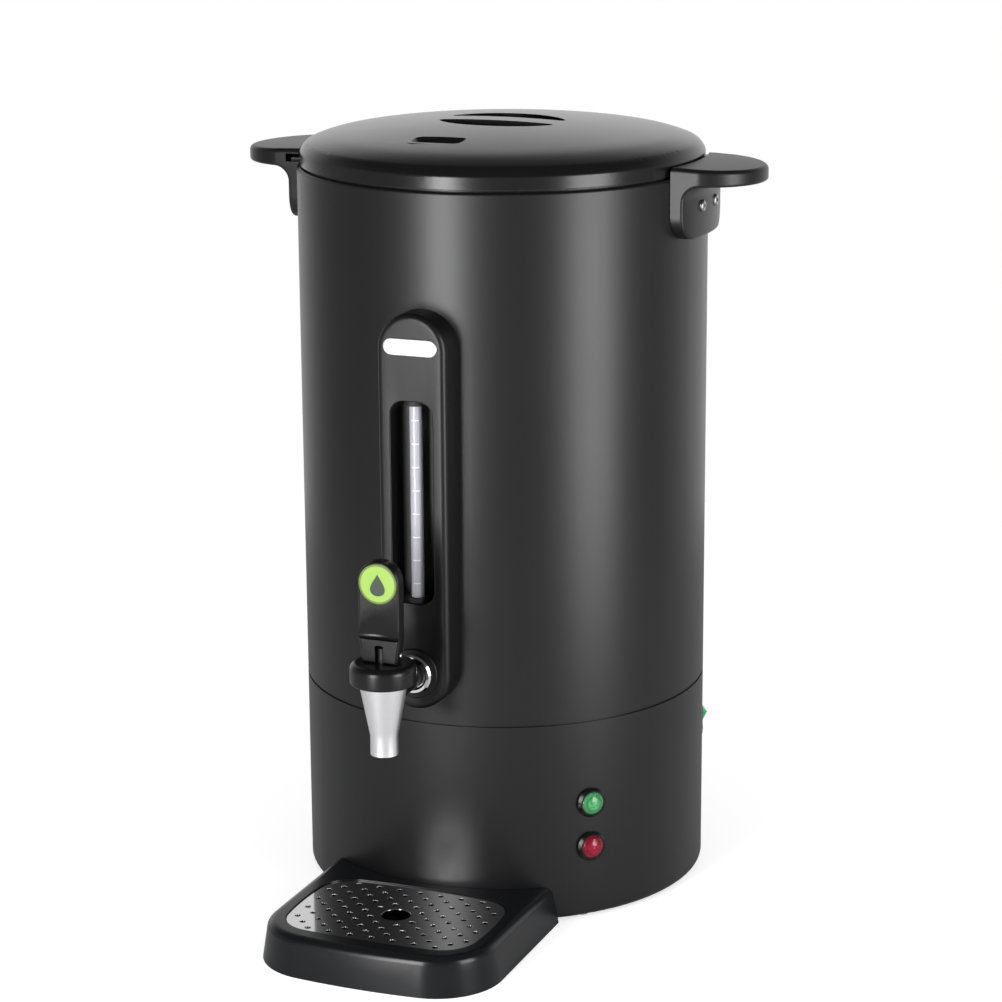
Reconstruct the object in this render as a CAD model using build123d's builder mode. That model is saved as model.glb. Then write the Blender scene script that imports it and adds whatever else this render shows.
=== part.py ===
from build123d import *
from math import asin, cos, degrees, radians, sin, sqrt
import os

os.makedirs("parts", exist_ok=True)

# Double-walled hot water urn. Millimetres, +Z up, origin on the body axis at counter level.
# The tap faces -Y and the two handles lie along X. Azimuths run from the front (-Y) towards +X.

# Fits shared by the pieces
running_fit = 0.05        # radial, a shaft that turns or slides in its hole
loose_fit = 0.2           # radial, a screw or tube passed through a hole
shell_gap = 0.3           # between nested round shells, and between curved faces that move

# Body shells
body_r = 132.5            # outer radius of both shells
sheet_t = 0.8             # sheet of the upper shell and the vessel
base_t = 1.0              # sheet of the base shell and its plate
foot_h = 2.0              # counter to the lower edge of the base shell
base_h = 131.4            # height of the base shell up to the seam
seam_h = 1.8              # open groove between the shells
shell_h = 337.1           # height of the upper shell
edge_r = 2.0              # rolled edges of the upper shell
base_corner = 3.0         # inside radius at the foot of the base shell
collar_h = 9.0            # joggled collar of the base shell inside the upper one
lip_w = 14.5              # inward lip that closes the base shell
shell_in_r = body_r - sheet_t
base_top = foot_h + base_h
shell_bottom = base_top + seam_h
shell_top = shell_bottom + shell_h

# Water vessel
jacket = 9.7              # air space between the upper shell and the vessel
vessel_r = shell_in_r - jacket
floor_lift = 14.8         # vessel floor above the lower edge of the upper shell
floor_z = shell_bottom + floor_lift
vessel_corner = 8.0
rim_w = 6.0               # flange of the vessel that lies on the shell's flange
rim_top = shell_top + sheet_t
rim_r = vessel_r + rim_w

# Lid
lid_inset = 1.9           # skirt inside the shell's outline
lid_gap = 1.6             # dark groove under the skirt
lid_t = 2.2
lid_h = 26.6              # skirt edge to the crown's apex
crown_h = 11.0            # rise of the crown over the full radius
lid_corner = 7.0
lid_r = body_r - lid_inset
lid_z = shell_top + lid_gap
lid_apex = lid_z + lid_h
well_half_l, well_half_w = 42.0, 32.0   # oval outline that holds both finger wells
bar_w = 17.0              # flush grip bar between them
well_depth = 14.4
well_t = 2.0
vent_x, vent_y = -11.0, -80.0
vent_l, vent_w = 36.0, 18.0
vent_bevel = 4.0
lug_t, lug_reach, lug_half_deg = 2.0, 5.4, 2.1
lug_clear_deg = 3.2       # lug to handle when the lid is free to lift
lock_deg = 15.0           # turn that brings the lugs under the handles
seal_w, seal_h = 8.5, 4.8
liner_z = rim_top + 2.4
post_at = 100.0           # circle of the liner's screw posts

# Handles
handle_half_w = 38.5
handle_tip = 44.3         # grip's reach from the body
grip_t = 9.7
grip_top = 5.7            # grip's top above the shell at the tip
grip_rise = 2.0           # the top climbs this much towards the body
grip_straight = 12.0      # straight sides of the grip before its rounded end
apron_t, apron_drop = 7.5, 38.7   # apron's thickness, and its lower edge below the shell's top
slot_t, slot_reach = 5.3, 9.0
slot_z = shell_top - 0.9
screw_y, screw_drop = 12.8, 18.8
handle_in_r = body_r + shell_gap
handle_top = shell_top + grip_top
grip_z = handle_top - grip_t
screw_z = shell_top - screw_drop
handle_half_deg = degrees(asin(handle_half_w / body_r))
lug_deg = handle_half_deg + lug_clear_deg + lug_half_deg

# Screws: shank radius, head radius, head height
m4_r, m4_head_r, m4_head_h = 2.0, 3.75, 2.2
spot_depth = 1.2          # flat seats of the handle screws
top_screw_drop = 11.0     # column's screw below its top
nut_across, nut_t = 7.0, 3.2

# Gauge column
column_w, column_proud = 45.5, 19.5
column_lift, column_h = 13.7, 251.5     # lower end above the seam, and overall height
column_t = 2.2
column_edge = 4.0
column_front = body_r + column_proud
column_z = shell_bottom + column_lift + column_h / 2
column_top = column_z + column_h / 2
column_seat = 0.15        # column's back to the shell
window_w, window_h, window_r = 28.0, 128.0, 9.0
window_lift = 82.8        # window's lower edge above the seam
window_z = shell_bottom + window_lift + window_h / 2
glass_r, glass_bore = 4.0, 2.6
glass_depth = 7.5         # glass axis behind the column's front
glass_fit = 0.1           # radial, glass in its seals and its socket
glass_y = -(column_front - glass_depth)
glass_top = window_z + window_h / 2 + 7.0
glass_bottom = window_z - window_h / 2 - 11.0
gauge_seal_r, gauge_seal_h = 6.5, 3.0
neck_t = 1.0
plate_l, plate_w, plate_t = 35.6, 10.7, 1.2
plate_drop = 20.5         # plate's centre below the column's top
plate_z = column_top - plate_drop
pocket_depth = 0.6

# Tap
tap_lift = 37.6           # shank axis above the seam
tap_z = shell_bottom + tap_lift
tap_reach = 66.5          # tap axis in front of the body
tap_y = -(body_r + tap_reach)
shank_r, shank_bore = 8.0, 4.75
boss_r, boss_h = 16.0, 1.5
flange_r, flange_t = 12.5, 3.0
spout_drop = 37.3         # nozzle mouth below the shank axis
spout_top_r, spout_r = 15.2, 8.6
spout_t = 1.7
nozzle_h = 12.0
bonnet_r, bonnet_h = 20.5, 13.4
bonnet_rise = 8.2         # bonnet's lower edge above the shank axis
body_t = 2.0
stem_r, tang_t = 4.0, 5.0
seat_r = 5.2              # raised valve seat
neck_h = 9.0              # threaded neck of the tap body inside the bonnet
arm_r, arm_t, arm_socket = 8.0, 1.8, 5.0
seat_drop = 9.8           # valve seat below the shank axis
spout_z = tap_z - spout_drop
bonnet_z = tap_z + bonnet_rise
bonnet_top = bonnet_z + bonnet_h
seat_z = tap_z - seat_drop

# Lever
lever_w, lever_t = 26.7, 9.9
lever_foot_w = 22.5
lever_h = 64.2
lever_front = 6.0         # lever's front face before the tap axis
pin_r, pin_rise = 1.5, 5.1
lever_z = bonnet_top + shell_gap
pin_z = bonnet_top + pin_rise
badge_margin, badge_t = 0.85, 0.9
badge_drop = 13.9         # badge's centre below the lever's top
badge_r = lever_w / 2 - badge_margin
scoop_depth = 3.3
lever_slot_h = 11.4
scoop_z = lever_z + 14.8

# Lamps and switch
lamp_azimuth = 46.0
lamp_heights = {"green": 79.5, "red": 49.9}
bezel_r, bezel_h, bezel_barrel_r = 9.8, 3.2, 6.5
lens_r, lens_proud = 7.2, 6.0
switch_azimuth, switch_z = 120.0, 89.0
switch_l, switch_w = 21.0, 15.0
rocker_l, rocker_w = 17.2, 11.2
rocker_rest_deg = 12.0

# Drip tray and grate
grate_l, grate_w, grate_bow, grate_corner, grate_t = 129.5, 91.0, 4.0, 23.0, 1.2
grate_gap = 8.0           # body to the grate
rim_side, rim_front = 14.25, 17.5       # foot of the tray beyond the grate
tray_h, tray_bow, tray_corner, tray_draft = 25.0, 7.5, 42.0, 9.0
tray_t = 2.5
tray_edge = 6.0
tray_gap = 0.5            # tray to body
tray_half_w = grate_l / 2 + rim_side
tray_y = -(body_r + grate_gap + grate_w + rim_front)
grate_y = -(body_r + grate_gap + grate_w / 2)
hole_r, hole_pitch_x, hole_pitch_y, drain_r = 1.8, 14.28, 7.65, 9.25
hole_rows = (7, 8, 9, 8, 9, 8, 9, 8, 9, 8, 7)
basin_ledge = 4.0
ledge_drop = 2.0
basin_floor = 1.5

# Heating set under the vessel
spreader_r, spreader_t = 85.0, 3.0
ring_r, ring_w, ring_h = 62.0, 9.0, 7.0
dish_r, dish_h = 22.0, 7.0
rod_r = 3.0
foot_r, foot_at = 11.0, 98.0
plate_z0 = foot_h + base_t
gland_z = 25.0
gland_r, gland_bore = 8.0, 4.0


def radial_plane(azimuth, radius, z):
    """Plane facing outwards at an azimuth: its x runs round the body and its y runs up."""
    turn = radians(azimuth)
    out = (sin(turn), -cos(turn), 0)
    return Plane(origin=(radius * out[0], radius * out[1], z), x_dir=(cos(turn), sin(turn), 0), z_dir=out)


def axial_plane(face):
    """Plane that holds the normal of a face plane: sketch x runs outwards along it, sketch y across."""
    return Plane(origin=face.origin, x_dir=face.z_dir, z_dir=face.x_dir)


def round_corner(sketch, x, y, radius):
    """Round the corner of a sketch that lies nearest to a point."""
    fillet(sketch.vertices().sort_by_distance((x, y, 0))[0], radius)


def bowed_outline(length, width, bow, corner):
    """Four bowed sides with rounded corners, centred."""
    x, y = length / 2, width / 2
    with BuildSketch(mode=Mode.PRIVATE) as outline:
        with BuildLine():
            ThreePointArc((-x + bow, -y + bow), (0, -y), (x - bow, -y + bow))
            ThreePointArc((x - bow, -y + bow), (x, 0), (x - bow, y - bow))
            ThreePointArc((x - bow, y - bow), (0, y), (-x + bow, y - bow))
            ThreePointArc((-x + bow, y - bow), (-x, 0), (-x + bow, -y + bow))
        make_face()
        fillet(outline.vertices(), corner)
    return outline.sketch


# ---------------------------------------------------------------- body shells
with BuildPart() as base_shell:
    with BuildSketch(Plane.XZ) as wall:
        collar_r = shell_in_r - shell_gap
        with BuildLine():
            Polyline(
                (body_r - lip_w, foot_h), (body_r, foot_h), (body_r, base_top), (collar_r, base_top),
                (collar_r, shell_bottom + collar_h), (collar_r - base_t, shell_bottom + collar_h),
                (collar_r - base_t, base_top - base_t), (body_r - base_t, base_top - base_t),
                (body_r - base_t, foot_h + base_t), (body_r - lip_w, foot_h + base_t), close=True,
            )
        make_face()
        round_corner(wall, body_r, foot_h, base_corner + base_t)
        round_corner(wall, body_r - base_t, foot_h + base_t, base_corner)
    revolve(axis=Axis.Z)
    for lamp_z in lamp_heights.values():
        with BuildSketch(radial_plane(lamp_azimuth, body_r - 8, lamp_z)):
            Circle(bezel_barrel_r + loose_fit)
        extrude(amount=16, mode=Mode.SUBTRACT)
    with BuildSketch(radial_plane(switch_azimuth, body_r - 8, switch_z)):
        Rectangle(switch_w - 1.6 + 2 * loose_fit, switch_l - 1.6 + 2 * loose_fit)
    extrude(amount=16, mode=Mode.SUBTRACT)
    with BuildSketch(radial_plane(180, body_r - 8, gland_z)):
        Circle(gland_r + loose_fit)
    extrude(amount=16, mode=Mode.SUBTRACT)
    with BuildSketch(Plane.XY.offset(foot_h - 1)):
        with PolarLocations(body_r - lip_w / 2 - 1.5, 4, start_angle=45):
            Circle(m4_r + loose_fit)
    extrude(amount=base_t + 2, mode=Mode.SUBTRACT)
base_shell.part.label = "base_shell"
export_step(base_shell.part, "parts/base_shell.step")

with BuildPart() as outer_shell:
    with BuildSketch(Plane.XZ) as wall:
        flange_in = vessel_r + 1.0
        with BuildLine():
            Polyline(
                (shell_in_r, shell_bottom), (body_r, shell_bottom), (body_r, shell_top), (flange_in, shell_top),
                (flange_in, shell_top - sheet_t), (shell_in_r, shell_top - sheet_t), close=True,
            )
        make_face()
        round_corner(wall, body_r, shell_top, edge_r)
        round_corner(wall, shell_in_r, shell_top - sheet_t, edge_r - sheet_t)
    revolve(axis=Axis.Z)
    with BuildSketch(Plane.XZ.offset(body_r - 8)):
        with Locations((0, tap_z)):
            Circle(shank_r + 1.5)
        with Locations((0, column_top - top_screw_drop)):
            Circle(m4_r + loose_fit)
    extrude(amount=16, mode=Mode.SUBTRACT)
    with BuildSketch(Plane.YZ.offset(-body_r - 8)):
        with Locations((screw_y, screw_z), (-screw_y, screw_z)):
            Circle(m4_r + loose_fit)
    extrude(amount=2 * body_r + 16, mode=Mode.SUBTRACT)
outer_shell.part.label = "outer_shell"
export_step(outer_shell.part, "parts/outer_shell.step")

with BuildPart() as inner_vessel:
    with BuildSketch(Plane.XZ) as wall:
        with BuildLine():
            Polyline(
                (0, floor_z), (vessel_r, floor_z), (vessel_r, shell_top), (rim_r, shell_top), (rim_r, rim_top),
                (vessel_r - sheet_t, rim_top), (vessel_r - sheet_t, floor_z + sheet_t), (0, floor_z + sheet_t),
                close=True,
            )
        make_face()
        round_corner(wall, vessel_r, floor_z, vessel_corner)
        round_corner(wall, vessel_r - sheet_t, floor_z + sheet_t, vessel_corner - sheet_t)
    revolve(axis=Axis.Z)
    with BuildSketch(Plane.XZ.offset(vessel_r - 6)):
        with Locations((0, tap_z)):
            Circle(shank_r + loose_fit)
    extrude(amount=12, mode=Mode.SUBTRACT)
inner_vessel.part.label = "inner_vessel"
export_step(inner_vessel.part, "parts/inner_vessel.step")

with BuildPart() as base_plate:
    plate_r = body_r - base_t - base_corner - 1.5
    with BuildSketch(Plane.XZ):
        with BuildLine():
            Polyline(
                (rod_r + loose_fit, plate_z0 + dish_h), (dish_r - 3, plate_z0 + dish_h), (dish_r, plate_z0),
                (plate_r, plate_z0), (plate_r, plate_z0 + base_t), (dish_r + 0.7, plate_z0 + base_t),
                (dish_r - 2.3, plate_z0 + dish_h + base_t), (rod_r + loose_fit, plate_z0 + dish_h + base_t),
                close=True,
            )
        make_face()
    revolve(axis=Axis.Z)
    with BuildSketch(Plane.XY.offset(plate_z0 - 1)):
        with PolarLocations(body_r - lip_w / 2 - 1.5, 4, start_angle=45):
            Circle(m4_r + running_fit)
        with PolarLocations(foot_at, 4):
            Circle(m4_r + running_fit)
    extrude(amount=base_t + 2, mode=Mode.SUBTRACT)
base_plate.part.label = "base_plate"
export_step(base_plate.part, "parts/base_plate.step")

with BuildPart() as base_screws:
    with BuildSketch(Plane.XY.offset(foot_h - 1.4)):
        with PolarLocations(body_r - lip_w / 2 - 1.5, 4, start_angle=45):
            Circle(m4_head_r)
    extrude(amount=1.4)
    with BuildSketch(Plane.XY.offset(foot_h)):
        with PolarLocations(body_r - lip_w / 2 - 1.5, 4, start_angle=45):
            Circle(m4_r)
    extrude(amount=6)
base_screws.part.label = "base_screws"
export_step(base_screws.part, "parts/base_screws.step")

with BuildPart() as rubber_feet:
    with BuildSketch(Plane.XY):
        with PolarLocations(foot_at, 4):
            Circle(foot_r)
    extrude(amount=plate_z0)
    fillet(rubber_feet.edges().group_by(Axis.Z)[0], 0.6)
    with BuildSketch(Plane.XY):
        with PolarLocations(foot_at, 4):
            Circle(m4_head_r + loose_fit)
    extrude(amount=1.8, mode=Mode.SUBTRACT)
    with BuildSketch(Plane.XY):
        with PolarLocations(foot_at, 4):
            Circle(m4_r + loose_fit)
    extrude(amount=plate_z0, mode=Mode.SUBTRACT)
rubber_feet.part.label = "rubber_feet"
export_step(rubber_feet.part, "parts/rubber_feet.step")

with BuildPart() as foot_screws:
    with BuildSketch(Plane.XY.offset(0.4)):
        with PolarLocations(foot_at, 4):
            Circle(m4_head_r)
    extrude(amount=1.4)
    with BuildSketch(Plane.XY.offset(1.8)):
        with PolarLocations(foot_at, 4):
            Circle(m4_r)
    extrude(amount=6)
foot_screws.part.label = "foot_screws"
export_step(foot_screws.part, "parts/foot_screws.step")

# ---------------------------------------------------------------- heating set
with BuildPart() as heat_spreader:
    with BuildSketch(Plane.XY.offset(floor_z - spreader_t)):
        Circle(spreader_r)
    extrude(amount=spreader_t)
    chamfer(heat_spreader.edges().group_by(Axis.Z)[0], 1.0)
heat_spreader.part.label = "heat_spreader"
export_step(heat_spreader.part, "parts/heat_spreader.step")

with BuildPart() as heating_element:
    ring_top = floor_z - spreader_t
    with BuildSketch(Plane.XZ) as section:
        with Locations((ring_r, ring_top - ring_h / 2)):
            Rectangle(ring_w, ring_h)
        fillet(section.vertices().sort_by(Axis.Y)[:2], 3.5)
    revolve(axis=Axis.Z, revolution_arc=325)
    with BuildSketch(Plane.XY.offset(ring_top - 1)):
        with PolarLocations(ring_r, 2, start_angle=3, angular_range=319, endpoint=True):
            Circle(3.2)
    extrude(amount=-26)
heating_element.part.label = "heating_element"
export_step(heating_element.part, "parts/heating_element.step")

for name, x, radius, depth in (("thermostat", -30.0, 13.0, 12.0), ("thermal_cutout", 30.0, 9.0, 10.0)):
    with BuildPart() as sensor:
        with BuildSketch(Plane.XY.offset(floor_z - spreader_t)):
            with Locations((x, 0)):
                Circle(radius)
        extrude(amount=-depth)
        fillet(sensor.edges().group_by(Axis.Z)[0], 1.5)
        with BuildSketch(Plane.XY.offset(floor_z - spreader_t - depth)):
            with Locations((x, radius / 2), (x, -radius / 2)):
                Rectangle(6.3, 0.8)
        extrude(amount=-8)
    sensor.part.label = name
    export_step(sensor.part, f"parts/{name}.step")

with BuildPart() as tie_rod:
    with BuildSketch(Plane.XY.offset(foot_h)):
        Circle(rod_r)
    extrude(amount=floor_z - spreader_t - foot_h)
    with BuildSketch(Plane.XY.offset(floor_z - spreader_t - 4)):
        Circle(rod_r + 4)
    extrude(amount=4)
tie_rod.part.label = "tie_rod"
export_step(tie_rod.part, "parts/tie_rod.step")

with BuildPart() as tie_nut:
    with BuildSketch(Plane.XY.offset(plate_z0 + dish_h - 5)):
        RegularPolygon(5.0, 6, major_radius=False)
        Circle(rod_r + running_fit, mode=Mode.SUBTRACT)
    extrude(amount=5)
tie_nut.part.label = "tie_nut"
export_step(tie_nut.part, "parts/tie_nut.step")

with BuildPart() as terminal_block:
    block_z = plate_z0 + base_t
    with BuildSketch(Plane.XY.offset(block_z)):
        with Locations((-45, 45)):
            Rectangle(40, 18)
    extrude(amount=4)
    with BuildSketch(Plane.XY.offset(block_z + 4)):
        with Locations((-45, 45)):
            with GridLocations(11, 0, 3, 1):
                Rectangle(9.5, 16)
    extrude(amount=11)
    with BuildSketch(Plane.XY.offset(block_z + 15)):
        with Locations((-45, 45)):
            with GridLocations(11, 9, 3, 2):
                Circle(2.2)
    extrude(amount=-6, mode=Mode.SUBTRACT)
terminal_block.part.label = "terminal_block"
export_step(terminal_block.part, "parts/terminal_block.step")

# ---------------------------------------------------------------- lamps, switch and cord gland
with BuildPart() as lamp_bezels:
    for lamp_z in lamp_heights.values():
        face = radial_plane(lamp_azimuth, body_r, lamp_z)
        with BuildSketch(axial_plane(face)):
            with BuildLine():
                Polyline(
                    (-20, 0), (-20, bezel_barrel_r), (0, bezel_barrel_r), (0, bezel_r), (bezel_h - 1.6, bezel_r),
                    (bezel_h, bezel_r - 1.6), (bezel_h, lens_r + loose_fit), (1.2, lens_r + loose_fit),
                    (1.2, 5.0), (-18, 5.0), (-18, 0), close=True,
                )
            make_face()
        revolve(axis=Axis(face.origin, face.z_dir))
lamp_bezels.part.label = "lamp_bezels"
export_step(lamp_bezels.part, "parts/lamp_bezels.step")

with BuildPart() as lamp_nuts:
    for lamp_z in lamp_heights.values():
        with BuildSketch(radial_plane(lamp_azimuth, body_r - base_t - 0.5, lamp_z)):
            RegularPolygon(8.5, 6, major_radius=False)
            Circle(bezel_barrel_r + running_fit, mode=Mode.SUBTRACT)
        extrude(amount=-4)
lamp_nuts.part.label = "lamp_nuts"
export_step(lamp_nuts.part, "parts/lamp_nuts.step")

for colour, lamp_z in lamp_heights.items():
    face = radial_plane(lamp_azimuth, body_r, lamp_z)
    with BuildPart() as lens:
        with BuildSketch(axial_plane(face)):
            with BuildLine():
                Polyline((lens_proud, 0), (-8, 0), (-8, 4.8), (1.2, 4.8), (1.2, lens_r), (bezel_h, lens_r))
                TangentArc((lens_proud, 0), (bezel_h, lens_r), tangent=(0, 1))
            make_face()
        revolve(axis=Axis(face.origin, face.z_dir))
    lens.part.label = f"{colour}_lamp"
    export_step(lens.part, f"parts/{colour}_lamp.step")

switch_face = radial_plane(switch_azimuth, body_r, switch_z)
pivot_depth = 2.0         # rocker pivot behind the shell's outer face
rocker_r = rocker_l / 2
with BuildPart() as switch_housing:
    with BuildSketch(switch_face):
        RectangleRounded(switch_w, switch_l, 1.5)
    extrude(amount=1.8)
    fillet(switch_housing.faces().sort_by(Axis(switch_face.origin, switch_face.z_dir))[-1].edges(), 0.8)
    with BuildSketch(switch_face):
        Rectangle(switch_w - 1.6, switch_l - 1.6)
    extrude(amount=-20)
    with BuildSketch(switch_face.offset(1.8)):
        Rectangle(rocker_w + 2 * shell_gap, rocker_l + 2 * shell_gap)
    extrude(amount=-13, mode=Mode.SUBTRACT)
    with BuildSketch(switch_face.offset(-20)):
        with GridLocations(0, 7, 1, 3):
            Rectangle(4.8, 0.8)
    extrude(amount=-8)
switch_housing.part.label = "switch_housing"
export_step(switch_housing.part, "parts/switch_housing.step")

with BuildPart() as switch_rocker:
    pivot = switch_face.offset(-pivot_depth)
    rest = radians(rocker_rest_deg)
    up = pivot.y_dir * cos(rest) + pivot.z_dir * sin(rest)
    with BuildSketch(Plane(origin=pivot.origin, x_dir=up, z_dir=pivot.x_dir)):
        end_y, hollow_y = 5.8, 4.0
        end_x = sqrt(rocker_r**2 - end_y**2)
        with BuildLine():
            Polyline((-end_x, end_y), (0, hollow_y), (end_x, end_y))
            ThreePointArc((end_x, end_y), (rocker_r, 0), (end_x, -end_y))
            Line((end_x, -end_y), (-end_x, -end_y))
            ThreePointArc((-end_x, -end_y), (-rocker_r, 0), (-end_x, end_y))
        make_face()
    extrude(amount=rocker_w / 2, both=True)
switch_rocker.part.label = "switch_rocker"
export_step(switch_rocker.part, "parts/switch_rocker.step")

gland_face = radial_plane(180, body_r, gland_z)
with BuildPart() as cord_gland:
    with BuildSketch(axial_plane(gland_face)):
        with BuildLine():
            Polyline(
                (-14, gland_bore), (-14, gland_r), (0, gland_r), (0, gland_r + 3), (3.5, gland_r + 3),
                (5, gland_r + 1), (12, gland_r - 1.5), (13, gland_r - 3), (13, gland_bore), close=True,
            )
        make_face()
    revolve(axis=Axis(gland_face.origin, gland_face.z_dir))
cord_gland.part.label = "cord_gland"
export_step(cord_gland.part, "parts/cord_gland.step")

with BuildPart() as gland_nut:
    with BuildSketch(gland_face.offset(-base_t - 0.8)):
        RegularPolygon(gland_r + 3, 6, major_radius=False)
        Circle(gland_r + running_fit, mode=Mode.SUBTRACT)
    extrude(amount=-4)
gland_nut.part.label = "gland_nut"
export_step(gland_nut.part, "parts/gland_nut.step")

# ---------------------------------------------------------------- handles
with BuildPart() as handle_right:
    tip_x = body_r + handle_tip
    straight_x = body_r + grip_straight
    apron_z = shell_top - apron_drop
    apron_r = handle_in_r + apron_t
    with BuildSketch(Plane.XY.offset(grip_z)) as plan:
        with BuildLine():
            Polyline((straight_x, handle_half_w), (0, handle_half_w), (0, -handle_half_w), (straight_x, -handle_half_w))
            ThreePointArc((straight_x, -handle_half_w), (tip_x, 0), (straight_x, handle_half_w))
        make_face()
        fillet(plan.vertices().sort_by(Axis.X)[-2:], 15)
    extrude(amount=grip_t + grip_rise)
    with BuildSketch(Plane.XZ):
        with BuildLine():
            Polyline(
                (tip_x, handle_top), (body_r, handle_top + grip_rise), (0, handle_top + grip_rise),
                (0, handle_top + 2 * grip_t), (tip_x, handle_top + 2 * grip_t), close=True,
            )
        make_face()
    extrude(amount=2 * handle_half_w, both=True, mode=Mode.SUBTRACT)
    with BuildSketch(Plane.XY.offset(apron_z)):
        Circle(apron_r)
        with Locations((body_r, 0)):
            Rectangle(2 * body_r, 2 * handle_half_w, mode=Mode.INTERSECT)
    extrude(amount=grip_z - apron_z + grip_t / 2)
    with BuildSketch(Plane.XY.offset(apron_z)):
        Circle(handle_in_r)
    extrude(amount=apron_drop + 2 * grip_t, mode=Mode.SUBTRACT)
    inner_corner = (
        handle_right.edges().filter_by(GeomType.CIRCLE)
        .filter_by_position(Axis.Z, grip_z - 0.1, grip_z + 0.1)
        .filter_by(lambda edge: abs(edge.radius - apron_r) < 0.1)
    )
    fillet(inner_corner, 10)
    lower_corners = handle_right.edges().filter_by(Axis.X).group_by(Axis.Z)[0]
    fillet(lower_corners, 16)
    fillet(handle_right.faces().sort_by(Axis.X)[-1].edges().group_by(Axis.Z)[-1], 3.2)
    fillet(handle_right.faces().sort_by(Axis.X)[-1].edges().group_by(Axis.Z)[0], 2.0)
    # slot that takes the lid's lug, open towards the lug's free side
    slot_near = lug_deg - lock_deg - lug_half_deg - 1.0
    slot_far = lug_deg + lock_deg
    slot_r = handle_in_r + slot_reach
    with BuildSketch(Plane.XY.offset(slot_z)):
        with BuildLine():
            far = 2 * slot_r
            near_corner = (far * cos(radians(slot_near)), far * sin(radians(slot_near)))
            far_corner = (far * cos(radians(slot_far)), far * sin(radians(slot_far)))
            Polyline((0, 0), near_corner, far_corner, close=True)
        make_face()
        Circle(slot_r, mode=Mode.INTERSECT)
    extrude(amount=slot_t, mode=Mode.SUBTRACT)
    with BuildSketch(Plane.YZ):
        with Locations((screw_y, screw_z), (-screw_y, screw_z)):
            Circle(m4_r + loose_fit)
    extrude(amount=2 * body_r, mode=Mode.SUBTRACT)
    with BuildSketch(Plane.YZ.offset(apron_r - spot_depth)):
        with Locations((screw_y, screw_z), (-screw_y, screw_z)):
            Circle(m4_head_r + loose_fit)
    extrude(amount=apron_t, mode=Mode.SUBTRACT)
handle_right.part.label = "handle_right"
export_step(handle_right.part, "parts/handle_right.step")

with BuildPart() as handle_left:
    add(handle_right.part.rotate(Axis.Z, 180))
handle_left.part.label = "handle_left"
export_step(handle_left.part, "parts/handle_left.step")

with BuildPart() as handle_screws:
    head_x = apron_r - spot_depth + m4_head_h
    with BuildSketch(Plane.YZ.offset(head_x)):
        with Locations((screw_y, screw_z), (-screw_y, screw_z)):
            Circle(m4_head_r)
    extrude(amount=-m4_head_h)
    fillet(handle_screws.edges().group_by(Axis.X)[-1], 1.4)
    with BuildSketch(Plane.YZ.offset(head_x)):
        with Locations((screw_y, screw_z), (-screw_y, screw_z)):
            Circle(m4_r)
    extrude(amount=-(m4_head_h + apron_t + 6))
    with BuildSketch(Plane.YZ.offset(head_x)):
        with Locations((screw_y, screw_z), (-screw_y, screw_z)):
            RegularPolygon(1.25, 6, major_radius=False)
    extrude(amount=-1.5, mode=Mode.SUBTRACT)
    mirror(about=Plane.YZ)
handle_screws.part.label = "handle_screws"
export_step(handle_screws.part, "parts/handle_screws.step")

with BuildPart() as handle_nuts:
    nut_face = sqrt(shell_in_r**2 - (screw_y + nut_across / 2) ** 2) - 0.1
    with BuildSketch(Plane.YZ.offset(nut_face)):
        with Locations((screw_y, screw_z), (-screw_y, screw_z)):
            RegularPolygon(nut_across / 2, 6, major_radius=False)
            Circle(m4_r + running_fit, mode=Mode.SUBTRACT)
    extrude(amount=-nut_t)
    mirror(about=Plane.YZ)
handle_nuts.part.label = "handle_nuts"
export_step(handle_nuts.part, "parts/handle_nuts.step")

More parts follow.
